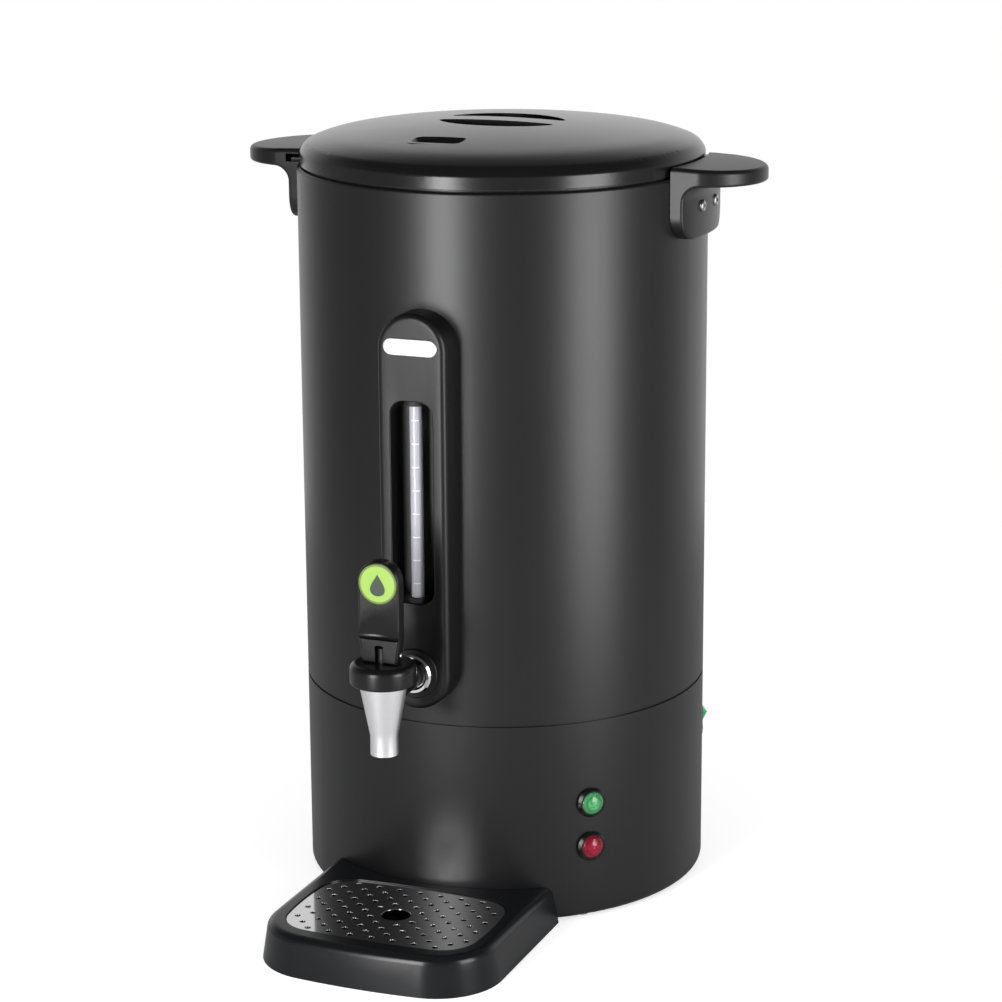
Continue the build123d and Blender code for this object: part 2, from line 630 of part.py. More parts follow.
# ---------------------------------------------------------------- gauge column
with BuildPart() as gauge_column:
    window_low = window_z - window_h / 2
    with BuildSketch(Plane.XZ.offset(body_r - 8)):
        with Locations((0, column_z)):
            SlotOverall(column_h, column_w, rotation=90)
    extrude(amount=column_proud + 8)
    fillet(gauge_column.faces().sort_by(Axis.Y)[0].edges(), column_edge)
    with BuildSketch(Plane.XZ.offset(body_r - 8)):
        with Locations((0, column_z)):
            SlotOverall(column_h - 2 * column_t, column_w - 2 * column_t, rotation=90)
    extrude(amount=column_proud + 8 - column_t, mode=Mode.SUBTRACT)
    # channel that the glass stands in, with its own walls and back
    with BuildSketch(Plane.XZ.offset(body_r + 1)):
        with Locations((0, window_z)):
            RectangleRounded(window_w + 2 * column_t, window_h + 2 * column_t, window_r + column_t)
    extrude(amount=column_proud - 2)
    with BuildSketch(Plane.XZ.offset(body_r + 1 + column_t)):
        with Locations((0, window_z)):
            RectangleRounded(window_w, window_h, window_r)
    extrude(amount=column_proud, mode=Mode.SUBTRACT)
    fillet(gauge_column.faces().sort_by(Axis.Y)[0].inner_wires()[0].edges(), 0.9)
    with BuildSketch(Plane.XY.offset(window_low)):
        with Locations((0, glass_y)):
            Circle(gauge_seal_r + running_fit)
    extrude(amount=window_h, mode=Mode.SUBTRACT)
    # screw post behind the plate, tap boss at the foot
    with BuildSketch(Plane.XZ.offset(body_r - 8)):
        with Locations((0, column_top - top_screw_drop)):
            Circle(m4_r + 2.5)
    extrude(amount=column_proud + 8 - column_t + 0.5)
    with BuildSketch(Plane.XZ.offset(column_front - 1)):
        with Locations((0, tap_z)):
            Circle(boss_r)
    extrude(amount=boss_h + 1)
    fillet(gauge_column.faces().sort_by(Axis.Y)[0].edges(), 1.0)
    with BuildSketch(Plane.XY.offset(shell_bottom)):
        Circle(body_r + column_seat)
    extrude(amount=shell_h, mode=Mode.SUBTRACT)
    with BuildSketch(Plane.XZ.offset(body_r - 8)):
        with Locations((0, column_top - top_screw_drop)):
            Circle(m4_r + running_fit)
    extrude(amount=column_proud + 8 - column_t, mode=Mode.SUBTRACT)
    with BuildSketch(Plane.XZ.offset(body_r)):
        with Locations((0, tap_z)):
            Circle(shank_r + loose_fit)
    extrude(amount=2 * column_proud, mode=Mode.SUBTRACT)
    with BuildSketch(Plane.XY.offset(window_low - column_t - 1)):
        with Locations((0, glass_y)):
            Circle(glass_r + loose_fit)
    extrude(amount=window_h + 2 * column_t + 2, mode=Mode.SUBTRACT)
    with BuildSketch(Plane.XZ.offset(column_front - pocket_depth)):
        with Locations((0, plate_z)):
            SlotOverall(plate_l + 2 * loose_fit, plate_w + 2 * loose_fit)
    extrude(amount=column_t, mode=Mode.SUBTRACT)
gauge_column.part.label = "gauge_column"
export_step(gauge_column.part, "parts/gauge_column.step")

with BuildPart() as column_screw:
    with BuildSketch(Plane.XZ.offset(shell_in_r - 0.3)):
        with Locations((0, column_top - top_screw_drop)):
            Circle(m4_head_r)
    extrude(amount=-m4_head_h)
    with BuildSketch(Plane.XZ.offset(shell_in_r - 0.3)):
        with Locations((0, column_top - top_screw_drop)):
            Circle(m4_r)
    extrude(amount=14)
column_screw.part.label = "column_screw"
export_step(column_screw.part, "parts/column_screw.step")

with BuildPart() as front_plate:
    with BuildSketch(Plane.XZ.offset(column_front - pocket_depth)):
        with Locations((0, plate_z)):
            SlotOverall(plate_l, plate_w)
    extrude(amount=plate_t)
    chamfer(front_plate.faces().sort_by(Axis.Y)[0].edges(), 0.4)
front_plate.part.label = "front_plate"
export_step(front_plate.part, "parts/front_plate.step")

with BuildPart() as gauge_glass:
    with BuildSketch(Plane.XY.offset(glass_bottom)):
        with Locations((0, glass_y)):
            Circle(glass_r)
            Circle(glass_bore, mode=Mode.SUBTRACT)
    extrude(amount=glass_top - glass_bottom)
gauge_glass.part.label = "gauge_glass"
export_step(gauge_glass.part, "parts/gauge_glass.step")

for name, seal_z in (("gauge_bottom_seal", window_low), ("gauge_top_seal", window_low + window_h - gauge_seal_h)):
    with BuildPart() as gauge_seal:
        with BuildSketch(Plane.XY.offset(seal_z)):
            with Locations((0, glass_y)):
                Circle(gauge_seal_r)
                Circle(glass_r + glass_fit, mode=Mode.SUBTRACT)
        extrude(amount=gauge_seal_h)
    gauge_seal.part.label = name
    export_step(gauge_seal.part, f"parts/{name}.step")

with BuildPart() as gauge_tee:
    tee_back = body_r + 2.0
    with BuildSketch(Plane.XZ.offset(tee_back)):
        with Locations((0, tap_z)):
            Circle(shank_r + 4)
    extrude(amount=column_front - column_t - tee_back)
    with BuildSketch(Plane.XY.offset(tap_z)):
        with Locations((0, glass_y)):
            Circle(glass_r + glass_fit + neck_t)
    extrude(amount=window_low - column_t - 0.5 - tap_z)
    with BuildSketch(Plane.XY.offset(glass_bottom)):
        with Locations((0, glass_y)):
            Circle(glass_r + glass_fit)
    extrude(amount=window_low - glass_bottom, mode=Mode.SUBTRACT)
    with BuildSketch(Plane.XY.offset(tap_z)):
        with Locations((0, glass_y)):
            Circle(glass_bore)
    extrude(amount=glass_bottom - tap_z, mode=Mode.SUBTRACT)
    with BuildSketch(Plane.XZ.offset(tee_back - 1)):
        with Locations((0, tap_z)):
            Circle(shank_r + running_fit)
    extrude(amount=column_proud, mode=Mode.SUBTRACT)
gauge_tee.part.label = "gauge_tee"
export_step(gauge_tee.part, "parts/gauge_tee.step")

# ---------------------------------------------------------------- tap
shank_face = Plane(origin=(0, 0, tap_z), x_dir=(1, 0, 0), z_dir=(0, -1, 0))
flange_at = column_front + boss_h
dish_at = flange_at + flange_t - 1.4
with BuildPart() as tap_shank:
    shank_in = vessel_r - sheet_t - 9.5
    with BuildSketch(axial_plane(shank_face)):
        with BuildLine():
            Polyline(
                (shank_in, shank_bore), (shank_in, shank_r), (flange_at, shank_r), (flange_at, flange_r),
                (flange_at + flange_t - 1.2, flange_r), (flange_at + flange_t, flange_r - 1.0),
                (flange_at + flange_t, flange_r - 2.6), (dish_at, arm_r + 0.6),
                (dish_at, arm_r - arm_t - loose_fit),
                (flange_at + flange_t + arm_socket, arm_r - arm_t - loose_fit),
                (flange_at + flange_t + arm_socket, shank_bore), close=True,
            )
        make_face()
    revolve(axis=Axis((0, 0, tap_z), (0, -1, 0)))
    with BuildSketch(Plane.XY.offset(tap_z)):
        with Locations((0, glass_y)):
            Circle(glass_bore)
    extrude(amount=shank_r + 1, mode=Mode.SUBTRACT)
tap_shank.part.label = "tap_shank"
export_step(tap_shank.part, "parts/tap_shank.step")

with BuildPart() as inner_gasket:
    with BuildSketch(Plane.XZ.offset(vessel_r - sheet_t - 3)):
        with Locations((0, tap_z)):
            Circle(shank_r + 5)
            Circle(shank_r + running_fit, mode=Mode.SUBTRACT)
    extrude(amount=3)
    with BuildSketch(Plane.XY.offset(floor_z)):
        Circle(vessel_r - sheet_t - running_fit)
    extrude(amount=tap_z - floor_z + 20, mode=Mode.INTERSECT)
inner_gasket.part.label = "inner_gasket"
export_step(inner_gasket.part, "parts/inner_gasket.step")

with BuildPart() as shank_nut:
    with BuildSketch(Plane.XZ.offset(vessel_r - sheet_t - 3)):
        with Locations((0, tap_z)):
            RegularPolygon(shank_r + 4, 6, major_radius=False)
            Circle(shank_r + running_fit, mode=Mode.SUBTRACT)
    extrude(amount=-5)
shank_nut.part.label = "shank_nut"
export_step(shank_nut.part, "parts/shank_nut.step")

with BuildPart() as outer_gasket:
    with BuildSketch(Plane.XZ.offset(vessel_r - 3)):
        with Locations((0, tap_z)):
            Circle(shank_r + 5)
            Circle(shank_r + running_fit, mode=Mode.SUBTRACT)
    extrude(amount=5)
    with BuildSketch(Plane.XY.offset(floor_z - 5)):
        Circle(vessel_r + running_fit)
    extrude(amount=tap_z - floor_z + 30, mode=Mode.SUBTRACT)
outer_gasket.part.label = "outer_gasket"
export_step(outer_gasket.part, "parts/outer_gasket.step")

with BuildPart() as shank_sleeve:
    with BuildSketch(Plane.XZ.offset(vessel_r + 2)):
        with Locations((0, tap_z)):
            Circle(shank_r + 3)
            Circle(shank_r + running_fit, mode=Mode.SUBTRACT)
    extrude(amount=jacket - 2 - 0.6)
shank_sleeve.part.label = "shank_sleeve"
export_step(shank_sleeve.part, "parts/shank_sleeve.step")

tap_plane = Plane.XZ.offset(-tap_y)
tap_axis = Axis((0, tap_y, 0), (0, 0, 1))
cone_slope = (spout_top_r - spout_r) / (bonnet_z + 1 - (spout_z + nozzle_h))


def cone_r(z):
    """Outer radius of the spout at a height."""
    return spout_r + cone_slope * max(0.0, z - spout_z - nozzle_h)


spout_top = bonnet_z - 0.1
with BuildPart() as spout:
    with BuildSketch(tap_plane):
        with BuildLine():
            Polyline(
                (spout_r - spout_t, spout_z), (spout_r, spout_z), (spout_r, spout_z + nozzle_h),
                (cone_r(spout_top), spout_top), (cone_r(spout_top) - spout_t, spout_top),
                (spout_r - spout_t, spout_z + nozzle_h), close=True,
            )
        make_face()
    revolve(axis=tap_axis)
    # notch that passes the arm
    with BuildSketch(Plane.XZ.offset(-tap_y)):
        with Locations((0, tap_z)):
            Circle(arm_r + loose_fit)
        with Locations((0, tap_z + spout_top_r)):
            Rectangle(2 * (arm_r + loose_fit), 2 * spout_top_r)
    extrude(amount=-2 * spout_top_r, mode=Mode.SUBTRACT)
spout.part.label = "spout"
export_step(spout.part, "parts/spout.step")

neck_r = cone_r(bonnet_z) - spout_t - loose_fit
with BuildPart() as tap_body:
    foot_z = seat_z - 3
    outlet_z = foot_z - 9
    bore_z = seat_z + 3
    with BuildSketch(tap_plane):
        with BuildLine():
            Polyline(
                (seat_r - 1.5, outlet_z), (seat_r + 0.4, outlet_z), (seat_r + 0.4, foot_z),
                (cone_r(foot_z) - spout_t - loose_fit, foot_z), (neck_r, bonnet_z), (neck_r, bonnet_z + neck_h),
                (neck_r - body_t, bonnet_z + neck_h), (neck_r - body_t, bonnet_z),
                (cone_r(seat_z) - spout_t - loose_fit - body_t, bore_z - 4.2), (seat_r, bore_z - 4.2),
                (seat_r, seat_z), (seat_r - 1.5, seat_z), close=True,
            )
        make_face()
    revolve(axis=tap_axis)
    with BuildSketch(Plane.XZ.offset(-tap_y)):
        with Locations((0, tap_z)):
            Circle(arm_r)
    extrude(amount=tap_y + dish_at)
    with BuildSketch(tap_plane):
        with BuildLine():
            Polyline(
                (0, seat_z + 0.6), (cone_r(seat_z) - spout_t - loose_fit - body_t, seat_z + 0.6),
                (neck_r - body_t, bonnet_z), (neck_r - body_t, bonnet_z + neck_h), (0, bonnet_z + neck_h), close=True,
            )
        make_face()
    revolve(axis=tap_axis, mode=Mode.SUBTRACT)
    with BuildSketch(Plane.XZ.offset(-tap_y)):
        with Locations((0, tap_z)):
            Circle(shank_bore)
    extrude(amount=tap_y + flange_at, mode=Mode.SUBTRACT)
    with BuildSketch(Plane.XZ.offset(flange_at + flange_t + arm_socket + 0.2)):
        with Locations((0, tap_z)):
            Circle(arm_r - arm_t)
    extrude(amount=-arm_socket - 2, mode=Mode.SUBTRACT)
tap_body.part.label = "tap_body"
export_step(tap_body.part, "parts/tap_body.step")

with BuildPart() as tap_bonnet:
    with BuildSketch(tap_plane):
        with BuildLine():
            Polyline(
                (neck_r + loose_fit, bonnet_z), (bonnet_r, bonnet_z), (bonnet_r, bonnet_top),
                (stem_r + running_fit, bonnet_top), (stem_r + running_fit, bonnet_z + neck_h + 0.1),
                (neck_r + loose_fit, bonnet_z + neck_h + 0.1), close=True,
            )
        make_face()
    revolve(axis=tap_axis)
    rim = tap_bonnet.edges().filter_by(lambda edge: edge.geom_type == GeomType.CIRCLE and edge.radius > bonnet_r - 0.1)
    fillet(rim.sort_by(Axis.Z)[-1], 4.2)
    fillet(rim.sort_by(Axis.Z)[0], 1.5)
tap_bonnet.part.label = "tap_bonnet"
export_step(tap_bonnet.part, "parts/tap_bonnet.step")

cup_h = 7.0
collar_z = seat_z + cup_h + 1
with BuildPart() as seat_cup:
    with BuildSketch(tap_plane):
        with BuildLine():
            Polyline(
                (0, seat_z), (seat_r + 1.5, seat_z), (seat_r + 0.6, seat_z + cup_h), (stem_r + 0.02, seat_z + cup_h),
                (stem_r + 0.02, seat_z + 2.5), (0, seat_z + 2.5), close=True,
            )
        make_face()
    revolve(axis=tap_axis)
seat_cup.part.label = "seat_cup"
export_step(seat_cup.part, "parts/seat_cup.step")

with BuildPart() as valve_stem:
    tang_z = bonnet_top - 2.5
    stem_top = pin_z + stem_r
    with BuildSketch(tap_plane):
        with BuildLine():
            Polyline(
                (0, seat_z + 2.5), (stem_r, seat_z + 2.5), (stem_r, collar_z), (stem_r + 2.5, collar_z),
                (stem_r + 2.5, collar_z + 1.5), (stem_r, collar_z + 1.5), (stem_r, stem_top), (0, stem_top), close=True,
            )
        make_face()
    revolve(axis=tap_axis)
    with BuildSketch(Plane.XY.offset(tang_z)):
        with Locations((tang_t / 2 + stem_r, tap_y), (-tang_t / 2 - stem_r, tap_y)):
            Rectangle(2 * stem_r, 4 * stem_r)
    extrude(amount=stem_top, mode=Mode.SUBTRACT)
    with BuildSketch(Plane.YZ.offset(-stem_r)):
        with Locations((tap_y, pin_z)):
            Circle(pin_r + running_fit)
    extrude(amount=2 * stem_r, mode=Mode.SUBTRACT)
valve_stem.part.label = "valve_stem"
export_step(valve_stem.part, "parts/valve_stem.step")

with BuildPart() as lever_pin:
    with BuildSketch(Plane.YZ.offset(-lever_foot_w / 2 - 1.2)):
        with Locations((tap_y, pin_z)):
            Circle(pin_r)
    extrude(amount=lever_foot_w + 2.4)
    chamfer(lever_pin.edges().filter_by(GeomType.CIRCLE), 0.3)
lever_pin.part.label = "lever_pin"
export_step(lever_pin.part, "parts/lever_pin.step")

with BuildPart() as tap_spring:
    wire_r, coil_r, turns = 0.6, 5.6, 5
    spring_z = collar_z + 1.5 + wire_r
    spring_h = bonnet_z + neck_h - wire_r - spring_z
    with BuildLine():
        Helix(pitch=spring_h / turns, height=spring_h, radius=coil_r, center=(0, tap_y, spring_z))
    with BuildSketch(Plane(origin=(coil_r, tap_y, spring_z), z_dir=(0, 1, 0))):
        Circle(wire_r)
    sweep(is_frenet=True)
tap_spring.part.label = "tap_spring"
export_step(tap_spring.part, "parts/tap_spring.step")

# ---------------------------------------------------------------- lever
with BuildPart() as tap_lever:
    front_y = tap_y - lever_front
    top_r = lever_w / 2
    top_z = lever_z + lever_h
    with BuildSketch(Plane.XZ.offset(-front_y)):
        with BuildLine():
            Polyline(
                (-top_r, top_z - top_r), (-top_r, lever_z + 15), (-lever_foot_w / 2, lever_z),
                (lever_foot_w / 2, lever_z), (top_r, lever_z + 15), (top_r, top_z - top_r),
            )
            ThreePointArc((top_r, top_z - top_r), (0, top_z), (-top_r, top_z - top_r))
        make_face()
    extrude(amount=-lever_t)
    fillet(tap_lever.edges().group_by(Axis.Y)[-1], 2.0)
    fillet(tap_lever.edges().group_by(Axis.Y)[0], 1.4)
    # hollow for the fingertip, turned about an upright axis in front so that it fades out sideways
    scoop_axis_y = front_y - 40
    with BuildSketch(Plane.YZ):
        with BuildLine():
            Polyline(
                (scoop_axis_y + 20, scoop_z + 17), (front_y, scoop_z + 17), (front_y + scoop_depth, scoop_z + 3),
            )
            ThreePointArc(
                (front_y + scoop_depth, scoop_z + 3), (front_y + scoop_depth * 0.8, scoop_z + 0.8), (front_y, scoop_z),
            )
            Polyline((front_y, scoop_z), (scoop_axis_y + 20, scoop_z), (scoop_axis_y + 20, scoop_z + 17))
        make_face()
    revolve(axis=Axis((0, scoop_axis_y, 0), (0, 0, 1)), mode=Mode.SUBTRACT)
    # clevis slot for the stem's tang, pin holes and badge recess
    with BuildSketch(Plane.XZ.offset(-front_y + 1)):
        with Locations((0, lever_z)):
            RectangleRounded(tang_t + 2 * shell_gap, 2 * lever_slot_h, 1.0)
    extrude(amount=-lever_t - 2, mode=Mode.SUBTRACT)
    with BuildSketch(Plane.YZ.offset(-lever_w)):
        with Locations((tap_y, pin_z)):
            Circle(pin_r + running_fit)
    extrude(amount=2 * lever_w, mode=Mode.SUBTRACT)
    with BuildSketch(Plane.XZ.offset(-front_y)):
        with Locations((0, top_z - badge_drop)):
            Circle(badge_r + loose_fit / 2)
    extrude(amount=-badge_t / 2, mode=Mode.SUBTRACT)
tap_lever.part.label = "tap_lever"
export_step(tap_lever.part, "parts/tap_lever.step")

with BuildPart() as lever_badge:
    with BuildSketch(Plane.XZ.offset(-front_y - badge_t / 2)):
        with Locations((0, top_z - badge_drop)):
            Circle(badge_r)
    extrude(amount=badge_t)
    fillet(lever_badge.edges().group_by(Axis.Y)[0], 0.4)
lever_badge.part.label = "lever_badge"
export_step(lever_badge.part, "parts/lever_badge.step")

# ---------------------------------------------------------------- lid
def crown(radius, skirt_z, apex, corner):
    """Half section of a lid: straight skirt, rounded shoulder, shallow crown."""
    shoulder_z = apex - crown_h * (radius / lid_r) ** 2
    with BuildSketch(mode=Mode.PRIVATE) as section:
        with BuildLine():
            Polyline((0, apex), (0, skirt_z), (radius, skirt_z), (radius, shoulder_z))
            TangentArc((0, apex), (radius, shoulder_z), tangent=(1, 0))
        make_face()
        round_corner(section, radius, shoulder_z, corner)
    return section.sketch


def lug_plan(inner, outer):
    """Plan of the two lugs that lock the lid under the handles, between two radii."""
    with BuildSketch(mode=Mode.PRIVATE) as plan:
        for side in (0, 180):
            low, high = radians(side + lug_deg - lug_half_deg), radians(side + lug_deg + lug_half_deg)
            with BuildLine():
                far = 3 * outer
                Polyline((0, 0), (far * cos(low), far * sin(low)), (far * cos(high), far * sin(high)), close=True)
            make_face()
        Circle(outer, mode=Mode.INTERSECT)
        Circle(inner, mode=Mode.SUBTRACT)
    return plan.sketch


with BuildPart() as lid_cover:
    with BuildSketch(Plane.XZ):
        add(crown(lid_r, lid_z, lid_apex, lid_corner))
    revolve(axis=Axis.Z)
    with BuildSketch(Plane.XZ):
        add(crown(lid_r - lid_t, lid_z - 1, lid_apex - lid_t, lid_corner - lid_t))
    revolve(axis=Axis.Z, mode=Mode.SUBTRACT)
    # walls of the two finger wells and of the steam vent, then posts for the liner's screws
    with BuildSketch(Plane.XY.offset(lid_apex - well_depth - well_t)) as well_walls:
        Ellipse(well_half_l + well_t, well_half_w + well_t)
        Rectangle(4 * well_half_l, bar_w - 2 * well_t, mode=Mode.SUBTRACT)
        fillet(well_walls.vertices(), 5)
    extrude(amount=well_depth)
    with BuildSketch(Plane.XY.offset(liner_z + sheet_t)):
        with PolarLocations(post_at, 4, start_angle=45):
            Circle(m4_r + 2.5)
    extrude(amount=lid_apex - lid_t - liner_z - sheet_t - crown_h * (post_at / lid_r) ** 2 + 0.5)
    vent_top = lid_apex - crown_h * (abs(vent_y) - vent_w / 2) ** 2 / lid_r**2
    with BuildSketch(Plane.XY.offset(liner_z + sheet_t)):
        with Locations((vent_x, vent_y)):
            RectangleRounded(vent_l - 2 * vent_bevel + 2 * well_t, vent_w - 2 * vent_bevel + 2 * well_t, 4)
    extrude(amount=vent_top - lid_t - liner_z - sheet_t)
    with BuildSketch(Plane.XY.offset(vent_top - vent_bevel - well_t)):
        with Locations((vent_x, vent_y)):
            RectangleRounded(vent_l + well_t, vent_w + well_t, vent_bevel + 3)
    extrude(amount=vent_bevel)
    with BuildSketch(Plane.XY.offset(lid_apex - well_depth)) as wells:
        Ellipse(well_half_l, well_half_w)
        Rectangle(4 * well_half_l, bar_w, mode=Mode.SUBTRACT)
        fillet(wells.vertices(), 3.0)
    extrude(amount=2 * well_depth, mode=Mode.SUBTRACT)
    with BuildSketch(Plane(origin=(vent_x, vent_y, vent_top), x_dir=(1, 0, 0), z_dir=(0, 0, -1))):
        RectangleRounded(vent_l, vent_w, vent_bevel + 2)
    extrude(amount=vent_bevel, taper=45, mode=Mode.SUBTRACT)
    with BuildSketch(Plane.XY.offset(lid_z)):
        with Locations((vent_x, vent_y)):
            RectangleRounded(vent_l - 2 * vent_bevel, vent_w - 2 * vent_bevel, 2)
    extrude(amount=lid_h, mode=Mode.SUBTRACT)
    with BuildSketch(Plane.XY.offset(liner_z)):
        with PolarLocations(post_at, 4, start_angle=45):
            Circle(1.6)
    extrude(amount=9, mode=Mode.SUBTRACT)
    # notches in the skirt's edge for the two lugs
    with BuildSketch(Plane.XY.offset(lid_z)):
        add(lug_plan(lid_r - 2 * lid_t, 2 * lid_r))
    extrude(amount=lug_t, mode=Mode.SUBTRACT)
lid_cover.part.label = "lid_cover"
export_step(lid_cover.part, "parts/lid_cover.step")

with BuildPart() as lid_lugs:
    with BuildSketch(Plane.XY.offset(lid_z)):
        add(lug_plan(lid_r - lid_t, lid_r + lug_reach))
    extrude(amount=lug_t)
lid_lugs.part.label = "lid_lugs"
export_step(lid_lugs.part, "parts/lid_lugs.step")

seal_r = lid_r - lid_t - shell_gap - 0.1
liner_r = seal_r - 2.8
with BuildPart() as lid_liner:
    with BuildSketch(Plane.XY.offset(liner_z)):
        Circle(liner_r)
        with Locations((vent_x, vent_y)):
            RectangleRounded(vent_l - 2 * vent_bevel, vent_w - 2 * vent_bevel, 2, mode=Mode.SUBTRACT)
        with PolarLocations(post_at, 4, start_angle=45):
            Circle(1.8, mode=Mode.SUBTRACT)
    extrude(amount=sheet_t)
lid_liner.part.label = "lid_liner"
export_step(lid_liner.part, "parts/lid_liner.step")

with BuildPart() as lid_screws:
    with BuildSketch(Plane.XY.offset(liner_z)):
        with PolarLocations(post_at, 4, start_angle=45):
            Circle(3.0)
    extrude(amount=-1.8)
    with BuildSketch(Plane.XY.offset(liner_z)):
        with PolarLocations(post_at, 4, start_angle=45):
            Circle(1.55)
    extrude(amount=8)
lid_screws.part.label = "lid_screws"
export_step(lid_screws.part, "parts/lid_screws.step")

with BuildPart() as lid_seal:
    with BuildSketch(Plane.XZ):
        with BuildLine():
            Polyline(
                (seal_r - seal_w, rim_top), (seal_r, rim_top), (seal_r, rim_top + seal_h),
                (seal_r - seal_w, rim_top + seal_h), (seal_r - seal_w, liner_z + sheet_t + shell_gap),
                (liner_r + shell_gap, liner_z + sheet_t + shell_gap), (liner_r + shell_gap, liner_z - shell_gap),
                (seal_r - seal_w, liner_z - shell_gap), close=True,
            )
        make_face()
    revolve(axis=Axis.Z)
lid_seal.part.label = "lid_seal"
export_step(lid_seal.part, "parts/lid_seal.step")

# ---------------------------------------------------------------- drip tray
def tray_outline(inset):
    """Plan of the tray: bowed front, two rounded corners, straight sides that run in under the body's edge."""
    half, front = tray_half_w - inset, tray_y + inset
    with BuildSketch(mode=Mode.PRIVATE) as outline:
        with BuildLine():
            ThreePointArc((-half, front + tray_bow), (0, front), (half, front + tray_bow))
            Polyline((half, front + tray_bow), (half, 0), (-half, 0), (-half, front + tray_bow))
        make_face()
        fillet(outline.vertices().group_by(Axis.Y)[0], tray_corner - inset)
    return outline.sketch


with BuildPart() as drip_tray:
    ledge_z = tray_h - ledge_drop
    with BuildSketch(Plane.XY):
        add(tray_outline(0))
    extrude(amount=tray_h, taper=tray_draft)
    front_edge = drip_tray.edges().group_by(Axis.Z)[-1].filter_by(lambda edge: edge.center().Y < -body_r / 2)
    fillet(front_edge, tray_edge)
    with BuildSketch(Plane.XY.offset(-1)):
        Circle(body_r + tray_gap)
        with Locations((0, body_r)):
            Rectangle(4 * body_r, 2 * body_r)
    extrude(amount=tray_h + 2, mode=Mode.SUBTRACT)
    with BuildSketch(Plane.XY):
        add(tray_outline(tray_t))
        Circle(body_r + tray_gap + tray_t, mode=Mode.SUBTRACT)
    extrude(amount=tray_h - tray_t, taper=tray_draft, mode=Mode.SUBTRACT)
    # basin with a ledge for the grate
    cup_l, cup_w = grate_l - 2 * basin_ledge, grate_w - 2 * basin_ledge
    cup_corner = grate_corner - basin_ledge
    with BuildSketch(Plane.XY.offset(basin_floor)):
        with Locations((0, grate_y)):
            add(bowed_outline(cup_l + 2 * tray_t, cup_w + 2 * tray_t, grate_bow, cup_corner + tray_t))
    extrude(amount=tray_h - basin_floor - tray_t / 2)
    with BuildSketch(Plane.XY.offset(ledge_z - tray_t)):
        with Locations((0, grate_y)):
            add(bowed_outline(grate_l + tray_t, grate_w + tray_t, grate_bow, grate_corner + 1))
    extrude(amount=tray_t + tray_t / 2)
    with BuildSketch(Plane.XY.offset(basin_floor + tray_t)):
        with Locations((0, grate_y)):
            add(bowed_outline(cup_l, cup_w, grate_bow, cup_corner))
    extrude(amount=tray_h, mode=Mode.SUBTRACT)
    with BuildSketch(Plane.XY.offset(ledge_z)):
        with Locations((0, grate_y)):
            add(bowed_outline(grate_l + 2 * shell_gap, grate_w + 2 * shell_gap, grate_bow, grate_corner))
    extrude(amount=tray_h, mode=Mode.SUBTRACT)
drip_tray.part.label = "drip_tray"
export_step(drip_tray.part, "parts/drip_tray.step")

with BuildPart() as drip_grate:
    with BuildSketch(Plane.XY.offset(ledge_z)):
        with Locations((0, grate_y)):
            add(bowed_outline(grate_l, grate_w, grate_bow, grate_corner))
            Circle(drain_r, mode=Mode.SUBTRACT)
            for row, count in enumerate(hole_rows):
                y = (row - 5) * hole_pitch_y
                for hole in range(count):
                    x = (hole - (count - 1) / 2) * hole_pitch_x
                    if sqrt(x**2 + y**2) > drain_r + 2 * hole_r:
                        with Locations((x, y)):
                            Circle(hole_r, mode=Mode.SUBTRACT)
    extrude(amount=grate_t)
drip_grate.part.label = "drip_grate"
export_step(drip_grate.part, "parts/drip_grate.step")
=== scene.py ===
import bmesh
import bpy
from math import cos, pi, radians, sin
from mathutils import Matrix, Vector


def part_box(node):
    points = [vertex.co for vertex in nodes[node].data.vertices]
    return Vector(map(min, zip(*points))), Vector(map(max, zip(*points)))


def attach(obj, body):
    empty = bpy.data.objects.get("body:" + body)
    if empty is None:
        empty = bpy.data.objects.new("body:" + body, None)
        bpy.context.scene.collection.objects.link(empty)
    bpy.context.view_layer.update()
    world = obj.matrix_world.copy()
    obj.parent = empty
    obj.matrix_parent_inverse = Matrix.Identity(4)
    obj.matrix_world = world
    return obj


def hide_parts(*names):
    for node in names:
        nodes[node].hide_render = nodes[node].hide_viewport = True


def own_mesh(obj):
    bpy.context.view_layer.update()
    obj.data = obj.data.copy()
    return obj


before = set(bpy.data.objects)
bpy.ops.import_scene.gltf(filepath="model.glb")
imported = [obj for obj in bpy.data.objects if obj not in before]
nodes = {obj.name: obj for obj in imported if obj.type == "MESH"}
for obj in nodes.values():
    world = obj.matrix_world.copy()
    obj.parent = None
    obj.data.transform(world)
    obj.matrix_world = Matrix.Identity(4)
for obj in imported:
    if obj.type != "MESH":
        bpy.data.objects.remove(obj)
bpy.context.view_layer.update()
scene = bpy.context.scene
print("frame loaded:", len(nodes), "nodes")

# camera, solved from the photograph's seams and handles
view = {
    "place": (0.71391, -1.76698, 0.74536), "turn": (75.334, 0.3505, 21.982), "lens": 106.652, "sensor": 36,
    "clipEnd": 20,
}
cameraData = bpy.data.cameras.new("urnCamera")
cameraData.sensor_width = view["sensor"]
cameraData.lens = view["lens"]
cameraData.clip_end = view["clipEnd"]
camera = bpy.data.objects.new("urnCamera", cameraData)
camera.location = view["place"]
camera.rotation_euler = [radians(a) for a in view["turn"]]
scene.collection.objects.link(camera)
scene.camera = camera
scene.view_settings.view_transform = "Standard"
print("camera placed")


def addNode(tree, kind, **values):
    node = tree.nodes.new(kind)
    for key, value in values.items():
        setattr(node, key, value)
    return node


def feed(tree, socket, value):
    # another node's socket is linked, a plain value is set
    if isinstance(value, bpy.types.NodeSocket):
        tree.links.new(value, socket)
    elif socket.type == "RGBA":
        socket.default_value = (*value, 1)
    else:
        socket.default_value = value


def mathNode(tree, operation, *values):
    node = addNode(tree, "ShaderNodeMath", operation=operation)
    for socket, value in zip(node.inputs, values):
        feed(tree, socket, value)
    return node.outputs[0]


